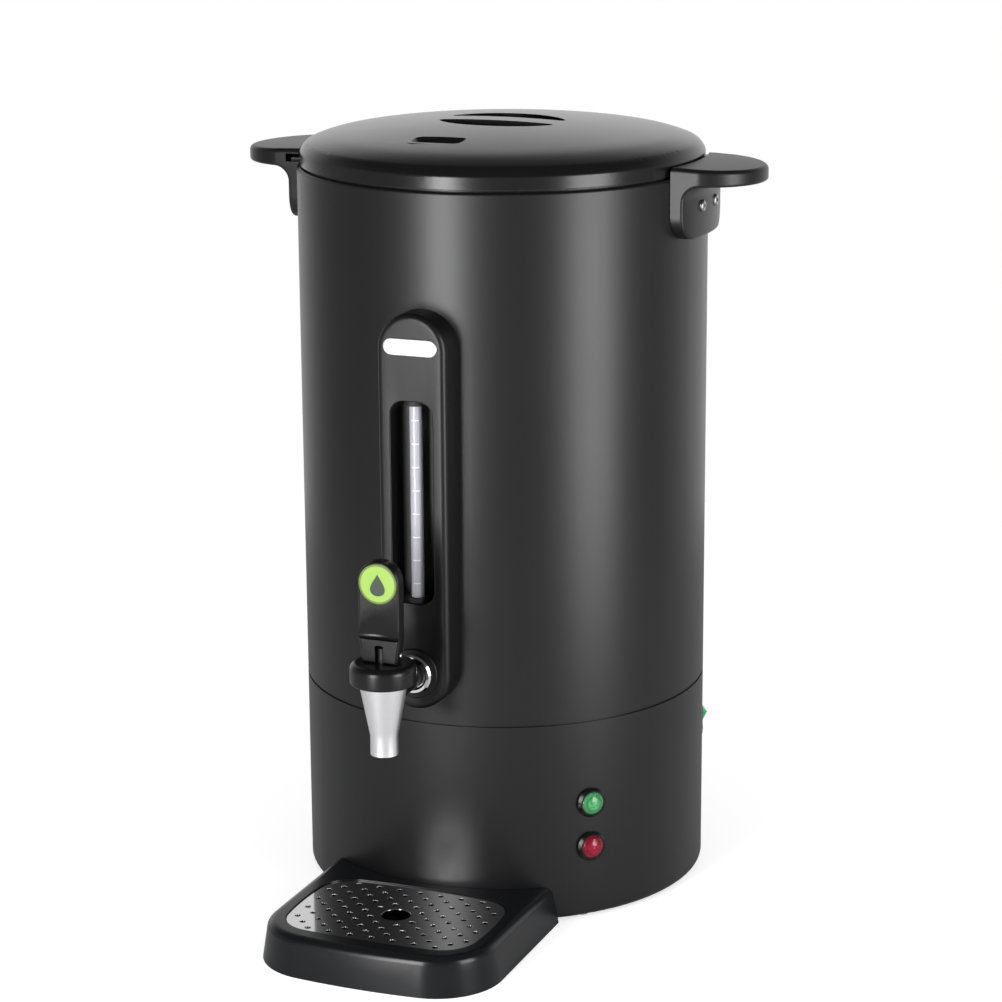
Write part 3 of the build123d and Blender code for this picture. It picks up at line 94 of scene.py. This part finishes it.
def vectorNode(tree, operation, first, second=None, result="Vector"):
    node = addNode(tree, "ShaderNodeVectorMath", operation=operation)
    feed(tree, node.inputs[0], first)
    if second is not None:
        feed(tree, node.inputs[1], second)
    return node.outputs[result]


def noiseNode(tree, scale, detail, vector, roughness=0.5):
    node = addNode(tree, "ShaderNodeTexNoise")
    node.inputs["Detail"].default_value = detail
    node.inputs["Roughness"].default_value = roughness
    feed(tree, node.inputs["Scale"], scale)
    feed(tree, node.inputs["Vector"], vector)
    return node.outputs["Fac"]


def cellNode(tree, feature, scale, vector):
    node = addNode(tree, "ShaderNodeTexVoronoi", feature=feature)
    feed(tree, node.inputs["Scale"], scale)
    feed(tree, node.inputs["Vector"], vector)
    return node.outputs["Distance"]


def rangeNode(tree, value, kind="LINEAR", **limits):
    node = addNode(tree, "ShaderNodeMapRange", interpolation_type=kind)
    for key, limit in limits.items():
        node.inputs[key.replace("_", " ")].default_value = limit
    feed(tree, node.inputs["Value"], value)
    return node.outputs["Result"]


def mixColour(tree, factor, first, second, blend="MIX"):
    mix = addNode(tree, "ShaderNodeMix", data_type="RGBA", blend_type=blend)
    for socket, value in ((mix.inputs["Factor"], factor), (mix.inputs[6], first), (mix.inputs[7], second)):
        feed(tree, socket, value)
    return mix.outputs[2]


def objectPlace(tree):
    return addNode(tree, "ShaderNodeTexCoord").outputs["Object"]


# shader groups: each puts out a height, a mask or a value
def newGroup(name, inputs, outputs):
    group = bpy.data.node_groups.new(name, "ShaderNodeTree")
    for label, kind, value in inputs:
        group.interface.new_socket(label, in_out="INPUT", socket_type=kind).default_value = value
    for label in outputs:
        group.interface.new_socket(label, in_out="OUTPUT", socket_type="NodeSocketFloat")
    return group, group.nodes.new("NodeGroupInput"), group.nodes.new("NodeGroupOutput")


def makeGrain():
    # pebbled skin of powder coat or moulded plastic, with broad uneven patches
    group, given, out = newGroup(
        "surfaceGrain",
        [("Scale", "NodeSocketFloat", 900.0), ("Patches", "NodeSocketFloat", 12.0)],
        ["Height", "Speckle", "Patch"],
    )
    place = objectPlace(group)
    fine = noiseNode(group, given.outputs["Scale"], 3, place, 0.6)
    cells = cellNode(group, "SMOOTH_F1", given.outputs["Scale"], place)
    feed(group, out.inputs["Height"], mathNode(group, "MULTIPLY_ADD", cells, 0.55, fine))
    feed(group, out.inputs["Speckle"], rangeNode(group, fine, From_Min=0.58, From_Max=0.78))
    feed(group, out.inputs["Patch"], noiseNode(group, given.outputs["Patches"], 4, place))
    return group


def makeBrush():
    # drawn lines of brushed sheet, stretched along one axis
    group, given, out = newGroup(
        "brushLines",
        [("Stretch", "NodeSocketVector", (1.0, 40.0, 40.0)), ("Scale", "NodeSocketFloat", 60.0)],
        ["Height", "Streak"],
    )
    stretched = vectorNode(group, "MULTIPLY", objectPlace(group), given.outputs["Stretch"])
    lines = noiseNode(group, given.outputs["Scale"], 6, stretched, 0.7)
    feed(group, out.inputs["Height"], lines)
    feed(group, out.inputs["Streak"], rangeNode(group, lines, From_Min=0.35, From_Max=0.65))
    return group


def makeDust():
    # thin dust that settles on faces turned up
    group, given, out = newGroup("settledDust", [("Amount", "NodeSocketFloat", 0.2)], ["Mask"])
    normal = addNode(group, "ShaderNodeSeparateXYZ")
    feed(group, normal.inputs[0], addNode(group, "ShaderNodeNewGeometry").outputs["Normal"])
    up = mathNode(group, "POWER", mathNode(group, "MAXIMUM", normal.outputs["Z"], 0.0), 3.0)
    spots = mathNode(group, "POWER", noiseNode(group, 300.0, 6, objectPlace(group), 0.7), 3.0)
    mask = mathNode(group, "MULTIPLY", up, spots)
    feed(group, out.inputs["Mask"], mathNode(group, "MULTIPLY", mask, given.outputs["Amount"]))
    return group


grainGroup, brushGroup, dustGroup = makeGrain(), makeBrush(), makeDust()


def placeGroup(tree, group, **values):
    node = addNode(tree, "ShaderNodeGroup", node_tree=group)
    for key, value in values.items():
        node.inputs[key].default_value = value
    return node


def newMaterial(name, base, roughness, metallic=0.0, **sockets):
    material = bpy.data.materials.new(name)
    material.use_nodes = True
    tree = material.node_tree
    shader = tree.nodes["Principled BSDF"]
    shader.inputs["Base Color"].default_value = (*base, 1)
    shader.inputs["Roughness"].default_value = roughness
    shader.inputs["Metallic"].default_value = metallic
    for key, value in sockets.items():
        shader.inputs[key.replace("_", " ")].default_value = value
    return material, tree, shader


def addBump(tree, shader, height, strength, distance):
    bump = addNode(tree, "ShaderNodeBump")
    bump.inputs["Strength"].default_value = strength
    bump.inputs["Distance"].default_value = distance
    feed(tree, bump.inputs["Height"], height)
    feed(tree, shader.inputs["Normal"], bump.outputs["Normal"])


def moulded(name, base, speckle, rough, scale, bump, patches=12.0, dust=0.0, **sockets):
    # coated or moulded skin: grain, light specks, uneven gloss and a little dust
    material, tree, shader = newMaterial(name, base, rough[0], **sockets)
    grain = placeGroup(tree, grainGroup, Scale=scale, Patches=patches)
    colour = mixColour(tree, grain.outputs["Speckle"], base, speckle)
    if dust:
        settled = placeGroup(tree, dustGroup, Amount=dust)
        colour = mixColour(tree, settled.outputs["Mask"], colour, (0.35, 0.34, 0.32))
    feed(tree, shader.inputs["Base Color"], colour)
    gloss = rangeNode(tree, grain.outputs["Patch"], To_Min=rough[0], To_Max=rough[1])
    feed(tree, shader.inputs["Roughness"], gloss)
    addBump(tree, shader, grain.outputs["Height"], bump, 0.0002)
    return material


def brushed(name, base, streak, rough, stretch, scale, bump):
    # bare metal with drawn lines in its colour, gloss and surface
    material, tree, shader = newMaterial(name, base, rough[0], 1.0)
    lines = placeGroup(tree, brushGroup, Stretch=stretch, Scale=scale)
    feed(tree, shader.inputs["Base Color"], mixColour(tree, lines.outputs["Streak"], base, streak))
    gloss = rangeNode(tree, lines.outputs["Streak"], To_Min=rough[0], To_Max=rough[1])
    feed(tree, shader.inputs["Roughness"], gloss)
    addBump(tree, shader, lines.outputs["Height"], bump, 0.0001)
    return material


def grey(level):
    return (level, level, level)


paint = moulded(
    "mattePaint", (0.004, 0.004, 0.0044), (0.009, 0.009, 0.0096), rough=(0.33, 0.38), scale=1500.0, bump=0.1,
    patches=9.0, dust=0.02, Specular_IOR_Level=0.45,
)
lidPlastic = moulded(
    "lidPlastic", grey(0.004), grey(0.008), rough=(0.2, 0.26), scale=2200.0, bump=0.08,
    patches=14.0, dust=0.04, Specular_IOR_Level=0.45,
)
handlePlastic = moulded(
    "handlePlastic", grey(0.004), grey(0.008), rough=(0.33, 0.39), scale=2200.0, bump=0.08,
    patches=14.0, dust=0.04, Specular_IOR_Level=0.4,
)
columnPlastic = moulded(
    "columnPlastic", (0.004, 0.004, 0.0042), (0.008, 0.008, 0.0085), rough=(0.34, 0.4), scale=2600.0, bump=0.1,
    patches=20.0, Specular_IOR_Level=0.36,
)
tapPlastic = moulded(
    "tapPlastic", grey(0.004), (0.007, 0.007, 0.0075), rough=(0.24, 0.3), scale=2600.0, bump=0.06,
    patches=30.0, Specular_IOR_Level=0.36,
)
trayPlastic = moulded(
    "trayPlastic", (0.005, 0.0055, 0.007), (0.009, 0.0095, 0.012), rough=(0.2, 0.26), scale=1800.0, bump=0.05,
    patches=18.0, dust=0.04, Specular_IOR_Level=0.34,
)
darkPlastic = moulded(
    "darkPlastic", grey(0.01), grey(0.02), rough=(0.45, 0.55), scale=1600.0, bump=0.15, patches=20.0
)
phenolic = moulded(
    "phenolic", (0.04, 0.025, 0.018), (0.07, 0.05, 0.035), rough=(0.4, 0.55), scale=900.0, bump=0.2, patches=30.0
)
terminalWhite = moulded(
    "terminalWhite", (0.72, 0.7, 0.64), (0.8, 0.78, 0.72), rough=(0.35, 0.45), scale=900.0, bump=0.1, patches=30.0
)
footRubber = moulded(
    "footRubber", grey(0.02), grey(0.035), rough=(0.7, 0.85), scale=1200.0, bump=0.3, patches=30.0
)
silicone = moulded(
    "silicone", (0.62, 0.6, 0.55), (0.7, 0.68, 0.62), rough=(0.4, 0.5), scale=700.0, bump=0.08, patches=20.0
)
sealRubber = moulded(
    "sealRubber", grey(0.012), grey(0.022), rough=(0.55, 0.7), scale=1200.0, bump=0.15, patches=20.0
)
badgeGreen = moulded(
    "badgeGreen", (0.3, 0.5, 0.07), (0.33, 0.54, 0.09), rough=(0.22, 0.3), scale=500.0, bump=0.03, patches=60.0
)
badgeEdge = moulded(
    "badgeEdge", (0.12, 0.19, 0.03), (0.15, 0.23, 0.04), rough=(0.25, 0.35), scale=500.0, bump=0.05, patches=60.0
)
dropInk = moulded(
    "dropInk", (0.012, 0.03, 0.012), (0.02, 0.045, 0.02), rough=(0.3, 0.4), scale=900.0, bump=0.08, patches=60.0
)
markWhite = moulded(
    "markWhite", grey(0.78), grey(0.84), rough=(0.4, 0.5), scale=900.0, bump=0.05, patches=60.0
)

drawnSteel = {
    "base": (0.56, 0.56, 0.57), "streak": (0.66, 0.66, 0.67), "rough": (0.2, 0.34), "stretch": (40.0, 40.0, 1.0),
    "scale": 60.0, "bump": 0.06,
}
stainless = brushed("stainless", **drawnSteel)
grateSteel = brushed(
    "grateSteel", grey(0.72), grey(0.78), rough=(0.04, 0.08), stretch=(1.0, 30.0, 30.0), scale=80.0, bump=0.02
)
zincPlate = brushed(
    "zincPlate", grey(0.5), grey(0.6), rough=(0.35, 0.5), stretch=(1.0, 4.0, 4.0), scale=90.0, bump=0.08
)
screwSteel = brushed(
    "screwSteel", grey(0.62), grey(0.72), rough=(0.14, 0.26), stretch=(12.0, 12.0, 12.0), scale=90.0, bump=0.05
)
socketSteel = brushed(
    "socketSteel", grey(0.3), grey(0.4), rough=(0.3, 0.42), stretch=(12.0, 12.0, 12.0), scale=90.0, bump=0.05
)
castMetal = brushed(
    "castMetal", grey(0.5), grey(0.6), rough=(0.4, 0.6), stretch=(1.0, 1.0, 1.0), scale=260.0, bump=0.3
)
chrome = brushed(
    "chrome", grey(0.8), grey(0.84), rough=(0.03, 0.07), stretch=(1.0, 1.0, 1.0), scale=90.0, bump=0.01
)
satinSilver = brushed(
    "satinSilver", (0.86, 0.86, 0.88), (0.91, 0.91, 0.93), rough=(0.3, 0.4), stretch=(1.0, 1.0, 1.0),
    scale=1400.0, bump=0.25,
)
plateMetal = brushed(
    "plateMetal", (0.48, 0.475, 0.47), (0.53, 0.525, 0.52), rough=(0.5, 0.6), stretch=(1.0, 30.0, 30.0),
    scale=90.0, bump=0.06,
)
blackSteel = brushed(
    "blackSteel", grey(0.03), grey(0.05), rough=(0.35, 0.5), stretch=(1.0, 1.0, 12.0), scale=200.0, bump=0.1
)

# painted shade: above the given height the tank's rolled rim is made a dark non-metal, so the lid seam reads as a
# shaded dark line instead of bright steel
rimSeamShade = {"above": 0.4705, "colour": grey(0.01)}
tankSteel = brushed("tankSteel", **drawnSteel)
tankTree = tankSteel.node_tree
tankShader = tankTree.nodes["Principled BSDF"]
tankPlace = addNode(tankTree, "ShaderNodeSeparateXYZ")
feed(tankTree, tankPlace.inputs[0], objectPlace(tankTree))
# painted shade at the lid seam: dark colour and no metal on the rim above this height
seamShaded = mathNode(tankTree, "GREATER_THAN", tankPlace.outputs["Z"], rimSeamShade["above"])
bareSteel = tankShader.inputs["Base Color"].links[0].from_socket
feed(tankTree, tankShader.inputs["Base Color"], mixColour(tankTree, seamShaded, bareSteel, rimSeamShade["colour"]))
feed(tankTree, tankShader.inputs["Metallic"], mathNode(tankTree, "SUBTRACT", 1.0, seamShaded))

# clear tinted plastic with a moulded prism pattern; a lamp has a lit core in a darker ring
lens = {"cells": 700.0, "shade": 0.55, "glowShade": 0.4, "bump": 0.3, "depth": 0.0003}
lampLens = {
    "azimuth": radians(46), "radius": 0.0072, "edge": grey(0.2),
    "rings": ((0.0, 1.0), (0.56, 0.9), (0.62, 0.12), (0.74, 0.16), (0.82, 0.45)),
}


def lampRings(tree, place, lampHeight):
    # light level by distance from the lamp's axis
    offset = vectorNode(tree, "SUBTRACT", place, (0, 0, lampHeight))
    axis = (sin(lampLens["azimuth"]), -cos(lampLens["azimuth"]), 0)
    away = vectorNode(tree, "LENGTH", vectorNode(tree, "CROSS_PRODUCT", offset, axis), result="Value")
    rings = addNode(tree, "ShaderNodeValToRGB")
    feed(tree, rings.inputs["Fac"], mathNode(tree, "DIVIDE", away, lampLens["radius"]))
    for position, level in lampLens["rings"]:
        rings.color_ramp.elements.new(position).color = (*grey(level), 1)
    rings.color_ramp.elements[-1].color = (*lampLens["edge"], 1)
    return rings.outputs["Color"]


def tinted(name, base, rough, emission, strength, lampHeight=None):
    material, tree, shader = newMaterial(name, base, rough, Transmission_Weight=0.35, IOR=1.49)
    place = objectPlace(tree)
    cells = cellNode(tree, "F1", lens["cells"], place)
    feed(tree, shader.inputs["Base Color"], mixColour(tree, cells, base, [c * lens["shade"] for c in base]))
    glow = mixColour(tree, cells, emission, [c * lens["glowShade"] for c in emission])
    if lampHeight:
        glow = mixColour(tree, 1.0, glow, lampRings(tree, place, lampHeight), "MULTIPLY")
    feed(tree, shader.inputs["Emission Color"], glow)
    shader.inputs["Emission Strength"].default_value = strength
    addBump(tree, shader, cells, lens["bump"], lens["depth"])
    return material


greenLens = tinted("greenLens", (0.06, 0.3, 0.1), 0.16, (0.12, 0.6, 0.25), 0.55, 0.0795)
redLens = tinted("redLens", (0.25, 0.003, 0.02), 0.16, (0.5, 0.0, 0.04), 0.5, 0.0499)
switchGreen = tinted("switchGreen", (0.02, 0.5, 0.2), 0.2, (0.02, 0.7, 0.3), 0.3)

glass, glassTree, glassShader = newMaterial(
    "gaugeGlass", (0.8, 0.8, 0.87), 0.06, Transmission_Weight=0.5, IOR=1.47
)
glassGrain = placeGroup(glassTree, grainGroup, Scale=400.0, Patches=60.0)
addBump(glassTree, glassShader, glassGrain.outputs["Patch"], 0.03, 0.0002)
print("finishes made")

# CAD nodes keep their shape: doubles closed, round faces smoothed, sharp edges split
surface = {"merge": 1e-5, "weld": 1e-6, "sharp": 32}
finishes = {
    "base_shell": paint, "outer_shell": paint, "inner_vessel": tankSteel, "base_plate": zincPlate,
    "base_screws": screwSteel, "rubber_feet": footRubber, "foot_screws": screwSteel,
    "heat_spreader": castMetal, "heating_element": castMetal, "thermostat": phenolic,
    "thermal_cutout": phenolic, "tie_rod": screwSteel, "tie_nut": screwSteel,
    "terminal_block": terminalWhite, "lamp_bezels": tapPlastic, "lamp_nuts": darkPlastic,
    "green_lamp": greenLens, "red_lamp": redLens, "switch_housing": darkPlastic,
    "switch_rocker": switchGreen, "cord_gland": darkPlastic, "gland_nut": darkPlastic,
    "handle_right": handlePlastic, "handle_left": handlePlastic, "handle_screws": socketSteel,
    "handle_nuts": screwSteel, "gauge_column": columnPlastic, "column_screw": screwSteel,
    "front_plate": plateMetal, "gauge_glass": glass, "gauge_bottom_seal": sealRubber,
    "gauge_top_seal": sealRubber, "gauge_tee": darkPlastic, "tap_shank": chrome,
    "inner_gasket": silicone, "outer_gasket": silicone, "shank_sleeve": screwSteel,
    "shank_nut": screwSteel, "spout": satinSilver, "tap_body": tapPlastic, "tap_bonnet": tapPlastic,
    "tap_spring": screwSteel, "valve_stem": blackSteel, "seat_cup": silicone, "lever_pin": screwSteel,
    "tap_lever": tapPlastic, "lever_badge": badgeGreen, "lid_seal": sealRubber,
    "lid_cover": lidPlastic, "lid_lugs": lidPlastic, "lid_liner": stainless,
    "lid_screws": screwSteel, "drip_tray": trayPlastic, "drip_grate": grateSteel,
}


def smoothFaces(piece):
    piece.data.polygons.foreach_set("use_smooth", [True] * len(piece.data.polygons))


def splitSharp(piece):
    split = piece.modifiers.new("sharpEdges", "EDGE_SPLIT")
    split.split_angle = radians(surface["sharp"])


for name, material in finishes.items():
    node = nodes[name]
    node.data.materials.clear()
    node.data.materials.append(material)
    smoothFaces(node)
    weld = node.modifiers.new("closeDoubles", "WELD")
    weld.merge_threshold = surface["merge"]
    splitSharp(node)
print("frame finished")


def copyNode(name, merge):
    build = bmesh.new()
    build.from_mesh(nodes[name].data)
    bmesh.ops.remove_doubles(build, verts=build.verts, dist=merge)
    return build


def newPiece(name, build, materials, body, *replaced):
    bmesh.ops.remove_doubles(build, verts=build.verts, dist=surface["weld"])
    bmesh.ops.recalc_face_normals(build, faces=build.faces)
    mesh = bpy.data.meshes.new(name)
    build.to_mesh(mesh)
    build.free()
    for material in materials:
        mesh.materials.append(material)
    piece = bpy.data.objects.new(name, mesh)
    scene.collection.objects.link(piece)
    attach(piece, body)
    if replaced:
        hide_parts(*replaced)
    return piece


def corners(name):
    return (Vector(corner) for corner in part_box(name))


# white marks on the gauge glass, arcs swept round its front
marks = {
    "lowest": 0.2297, "step": 0.01481, "count": 8, "tall": 0.0008, "from": -18, "sweep": 68, "arcSteps": 12,
    "proud": 0.00005, "thick": 0.0001,
}
glassLow, glassHigh = corners("gauge_glass")
glassAt = (glassLow + glassHigh) / 2
markRadius = (glassHigh.x - glassLow.x) / 2 + marks["proud"]
markStart = radians(marks["from"])
markBuild = bmesh.new()
for index in range(marks["count"]):
    foot = bmesh.ops.create_vert(markBuild, co=(
        glassAt.x + markRadius * sin(markStart), glassAt.y - markRadius * cos(markStart),
        marks["lowest"] + index * marks["step"],
    ))["vert"][0]
    rise = bmesh.ops.extrude_vert_indiv(markBuild, verts=[foot])
    for corner in rise["verts"]:
        corner.co.z += marks["tall"]
    bmesh.ops.spin(
        markBuild, geom=[foot, *rise["verts"], *rise["edges"]], cent=(glassAt.x, glassAt.y, 0), axis=(0, 0, 1),
        angle=radians(marks["sweep"]), steps=marks["arcSteps"],
    )
bmesh.ops.recalc_face_normals(markBuild, faces=markBuild.faces)
bmesh.ops.solidify(markBuild, geom=markBuild.faces[:], thickness=marks["thick"])
newPiece("gaugeMarks", markBuild, [markWhite], "urn")
print("gauge marks made")

# lever badge: lime face, darker rim, raised water drop; built flat, then stood up facing the front
badge = {
    "sides": 96, "edge": 0.0003, "rim": 0.0008, "step": 0.0002, "sunk": 0.00012, "drop": 0.0068,
    "dropSides": 64, "dropTaper": 1.5, "dropAt": -0.0006, "dropFoot": 0.0001, "dropRise": 0.0004,
}
badgeLow, badgeHigh = corners("lever_badge")
badgeAt = Vector(((badgeLow.x + badgeHigh.x) / 2, badgeHigh.y, (badgeLow.z + badgeHigh.z) / 2))
badgeThick = badgeHigh.y - badgeLow.y
badgeBuild = bmesh.new()
bmesh.ops.create_circle(
    badgeBuild, cap_ends=True, segments=badge["sides"], radius=(badgeHigh.x - badgeLow.x) / 2
)
lifted = bmesh.ops.extrude_face_region(badgeBuild, geom=badgeBuild.faces[:])["geom"]
top = [item for item in lifted if isinstance(item, bmesh.types.BMFace)][0]
bmesh.ops.translate(badgeBuild, verts=top.verts[:], vec=(0, 0, badgeThick))
bmesh.ops.bevel(
    badgeBuild, geom=top.edges[:], offset=badge["edge"], segments=3, profile=0.5, affect="EDGES", material=-1
)
top = max(badgeBuild.faces, key=lambda f: (f.calc_center_median().z, f.calc_area()))
for side in badgeBuild.faces:
    side.material_index = 1
bmesh.ops.inset_region(badgeBuild, faces=[top], thickness=badge["rim"], depth=0)
bmesh.ops.inset_region(badgeBuild, faces=[top], thickness=badge["step"], depth=-badge["sunk"])
top.material_index = 0
dropStart = bmesh.ops.create_circle(
    badgeBuild, cap_ends=True, segments=badge["dropSides"], radius=badge["drop"]
)
for point in dropStart["verts"]:
    turn = Vector((point.co.y, point.co.x)).angle_signed(Vector((1, 0)))
    point.co.x *= abs(sin(turn / 2)) ** badge["dropTaper"]
    point.co.y += badge["dropAt"]
    point.co.z = badgeThick - badge["sunk"] - badge["dropFoot"]
dropFaces = [f for f in badgeBuild.faces if all(v in dropStart["verts"] for v in f.verts)]
for side in dropFaces:
    side.material_index = 2
raised = bmesh.ops.extrude_face_region(badgeBuild, geom=dropFaces)["geom"]
raisedVerts = [item for item in raised if isinstance(item, bmesh.types.BMVert)]
bmesh.ops.translate(badgeBuild, verts=raisedVerts, vec=(0, 0, badge["dropRise"]))
bmesh.ops.rotate(badgeBuild, verts=badgeBuild.verts, cent=(0, 0, 0), matrix=Matrix.Rotation(pi / 2, 3, "X"))
bmesh.ops.translate(badgeBuild, verts=badgeBuild.verts, vec=badgeAt)
newPiece("leverBadge", badgeBuild, [badgeGreen, badgeEdge, dropInk], "lever", "lever_badge")
print("badge made")

# grate with its edges rounded, so that rim and holes catch light; its flat faces stay flat
grate = {"flatten": 1, "sharp": 50, "round": 0.00022, "segments": 2, "level": 0.995}
grateBuild = copyNode("drip_grate", surface["merge"])
bmesh.ops.dissolve_limit(
    grateBuild, angle_limit=radians(grate["flatten"]), use_dissolve_boundaries=False,
    verts=grateBuild.verts[:], edges=grateBuild.edges[:],
)
sharpEdges = [
    edge for edge in grateBuild.edges
    if len(edge.link_faces) == 2 and edge.calc_face_angle() > radians(grate["sharp"])
]
bmesh.ops.bevel(
    grateBuild, geom=sharpEdges, offset=grate["round"], segments=grate["segments"], profile=0.5,
    affect="EDGES", clamp_overlap=True, material=-1,
)
for side in grateBuild.faces:
    side.smooth = abs(side.normal.z) < grate["level"]
newPiece("dripGrate", grateBuild, [grateSteel], "grate", "drip_grate")
print("grate made")

# lid cover with its crown falling faster towards the shoulder
crown = {
    "from": 0.096, "to": 0.1306, "drop": 0.0045, "power": 3, "foot": 0.4754, "height": 0.012,
    "fineRadius": 0.088, "fineAbove": 0.481, "fineLengths": (0.009, 0.0045),
}


def onCrown(point):
    return point.co.to_2d().length > crown["fineRadius"] and point.co.z > crown["fineAbove"]


lidBuild = copyNode("lid_cover", surface["merge"])
for length in crown["fineLengths"]:
    coarse = [
        edge for edge in lidBuild.edges if edge.calc_length() > length and all(onCrown(v) for v in edge.verts)
    ]
    bmesh.ops.subdivide_edges(lidBuild, edges=coarse, cuts=1)
bmesh.ops.triangulate(lidBuild, faces=lidBuild.faces)
for point in lidBuild.verts:
    outward = (point.co.to_2d().length - crown["from"]) / (crown["to"] - crown["from"])
    upward = (point.co.z - crown["foot"]) / crown["height"]
    point.co.z -= crown["drop"] * min(max(outward, 0), 1) ** crown["power"] * min(max(upward, 0), 1)
lid = newPiece("lidCover", lidBuild, [lidPlastic], "lid", "lid_cover")
smoothFaces(lid)
splitSharp(lid)
print("lid made")

# tap spring, copied into a piece of its own with smooth faces and its own mesh
springBuild = copyNode("tap_spring", surface["weld"])
springPiece = newPiece("tapSpring", springBuild, [screwSteel], "urn", "tap_spring")
smoothFaces(springPiece)
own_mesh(springPiece)
print("spring made")

# white floor; its own light is seen by the camera alone
ground = {"radius": 0.95, "sides": 96, "rough": 0.9, "seen": 0.62}
floorMesh = bpy.data.meshes.new("floor")
floorBuild = bmesh.new()
bmesh.ops.create_circle(floorBuild, cap_ends=True, segments=ground["sides"], radius=ground["radius"])
floorBuild.to_mesh(floorMesh)
floorBuild.free()
floor = bpy.data.objects.new("floor", floorMesh)
scene.collection.objects.link(floor)
floorPaint, floorTree, floorShader = newMaterial("floorWhite", grey(0.8), ground["rough"])
floorSeen = addNode(floorTree, "ShaderNodeLightPath").outputs["Is Camera Ray"]
floorShader.inputs["Emission Color"].default_value = (1, 1, 1, 1)
floorGlow = mathNode(floorTree, "MULTIPLY", floorSeen, ground["seen"])
feed(floorTree, floorShader.inputs["Emission Strength"], floorGlow)
floorMesh.materials.append(floorPaint)

# white studio: plain fill for diffuse light, white behind the object and dimmer overhead in reflections
studio = {
    "fill": 0.42, "behind": 1.0, "front": 0.34, "overhead": 0.2, "behindWay": (-0.174, 0.985, 0.0),
    "turnFrom": 0.25, "turnTo": 0.85, "riseFrom": 0.2, "riseTo": 0.7,
}
world = bpy.data.worlds.new("studio")
scene.world = world
world.use_nodes = True
worldTree = world.node_tree
backdrop = worldTree.nodes["Background"]
way = addNode(worldTree, "ShaderNodeTexCoord").outputs["Generated"]
facing = vectorNode(worldTree, "DOT_PRODUCT", way, studio["behindWay"], result="Value")
around = rangeNode(
    worldTree, facing, "SMOOTHSTEP", From_Min=studio["turnFrom"], From_Max=studio["turnTo"],
    To_Min=studio["front"], To_Max=studio["behind"],
)
wayParts = addNode(worldTree, "ShaderNodeSeparateXYZ")
feed(worldTree, wayParts.inputs[0], way)
above = rangeNode(
    worldTree, wayParts.outputs["Z"], "SMOOTHSTEP", From_Min=studio["riseFrom"], From_Max=studio["riseTo"],
    To_Min=1.0, To_Max=studio["overhead"],
)
rays = addNode(worldTree, "ShaderNodeLightPath")
level = addNode(worldTree, "ShaderNodeMix")
feed(worldTree, level.inputs["Factor"], rays.outputs["Is Glossy Ray"])
feed(worldTree, level.inputs[2], studio["fill"])
feed(worldTree, level.inputs[3], mathNode(worldTree, "MULTIPLY", around, above))
plain = mathNode(worldTree, "MAXIMUM", rays.outputs["Is Camera Ray"], rays.outputs["Is Transmission Ray"])
feed(worldTree, backdrop.inputs["Strength"], mathNode(worldTree, "MAXIMUM", level.outputs[0], plain))
backdrop.inputs["Color"].default_value = (1, 1, 1, 1)

# tall soft boxes, turned towards the body's middle
lampAim = Vector((0, 0, 0.25))
lamps = {
    "frontBox": {"azimuth": -10, "distance": 1.7, "height": 0.2, "size": (0.42, 1.6), "power": 31},
    "sideBox": {"azimuth": 70, "distance": 1.8, "height": 0.25, "size": (0.75, 1.6), "power": 29},
}
for name, lamp in lamps.items():
    data = bpy.data.lights.new(name, "AREA")
    data.shape = "RECTANGLE"
    data.size, data.size_y = lamp["size"]
    data.energy = lamp["power"]
    light = bpy.data.objects.new(name, data)
    turn = radians(lamp["azimuth"])
    light.location = (lamp["distance"] * sin(turn), -lamp["distance"] * cos(turn), lamp["height"])
    light.rotation_euler = (lampAim - light.location).to_track_quat("-Z", "Y").to_euler()
    scene.collection.objects.link(light)
print("stage lit")
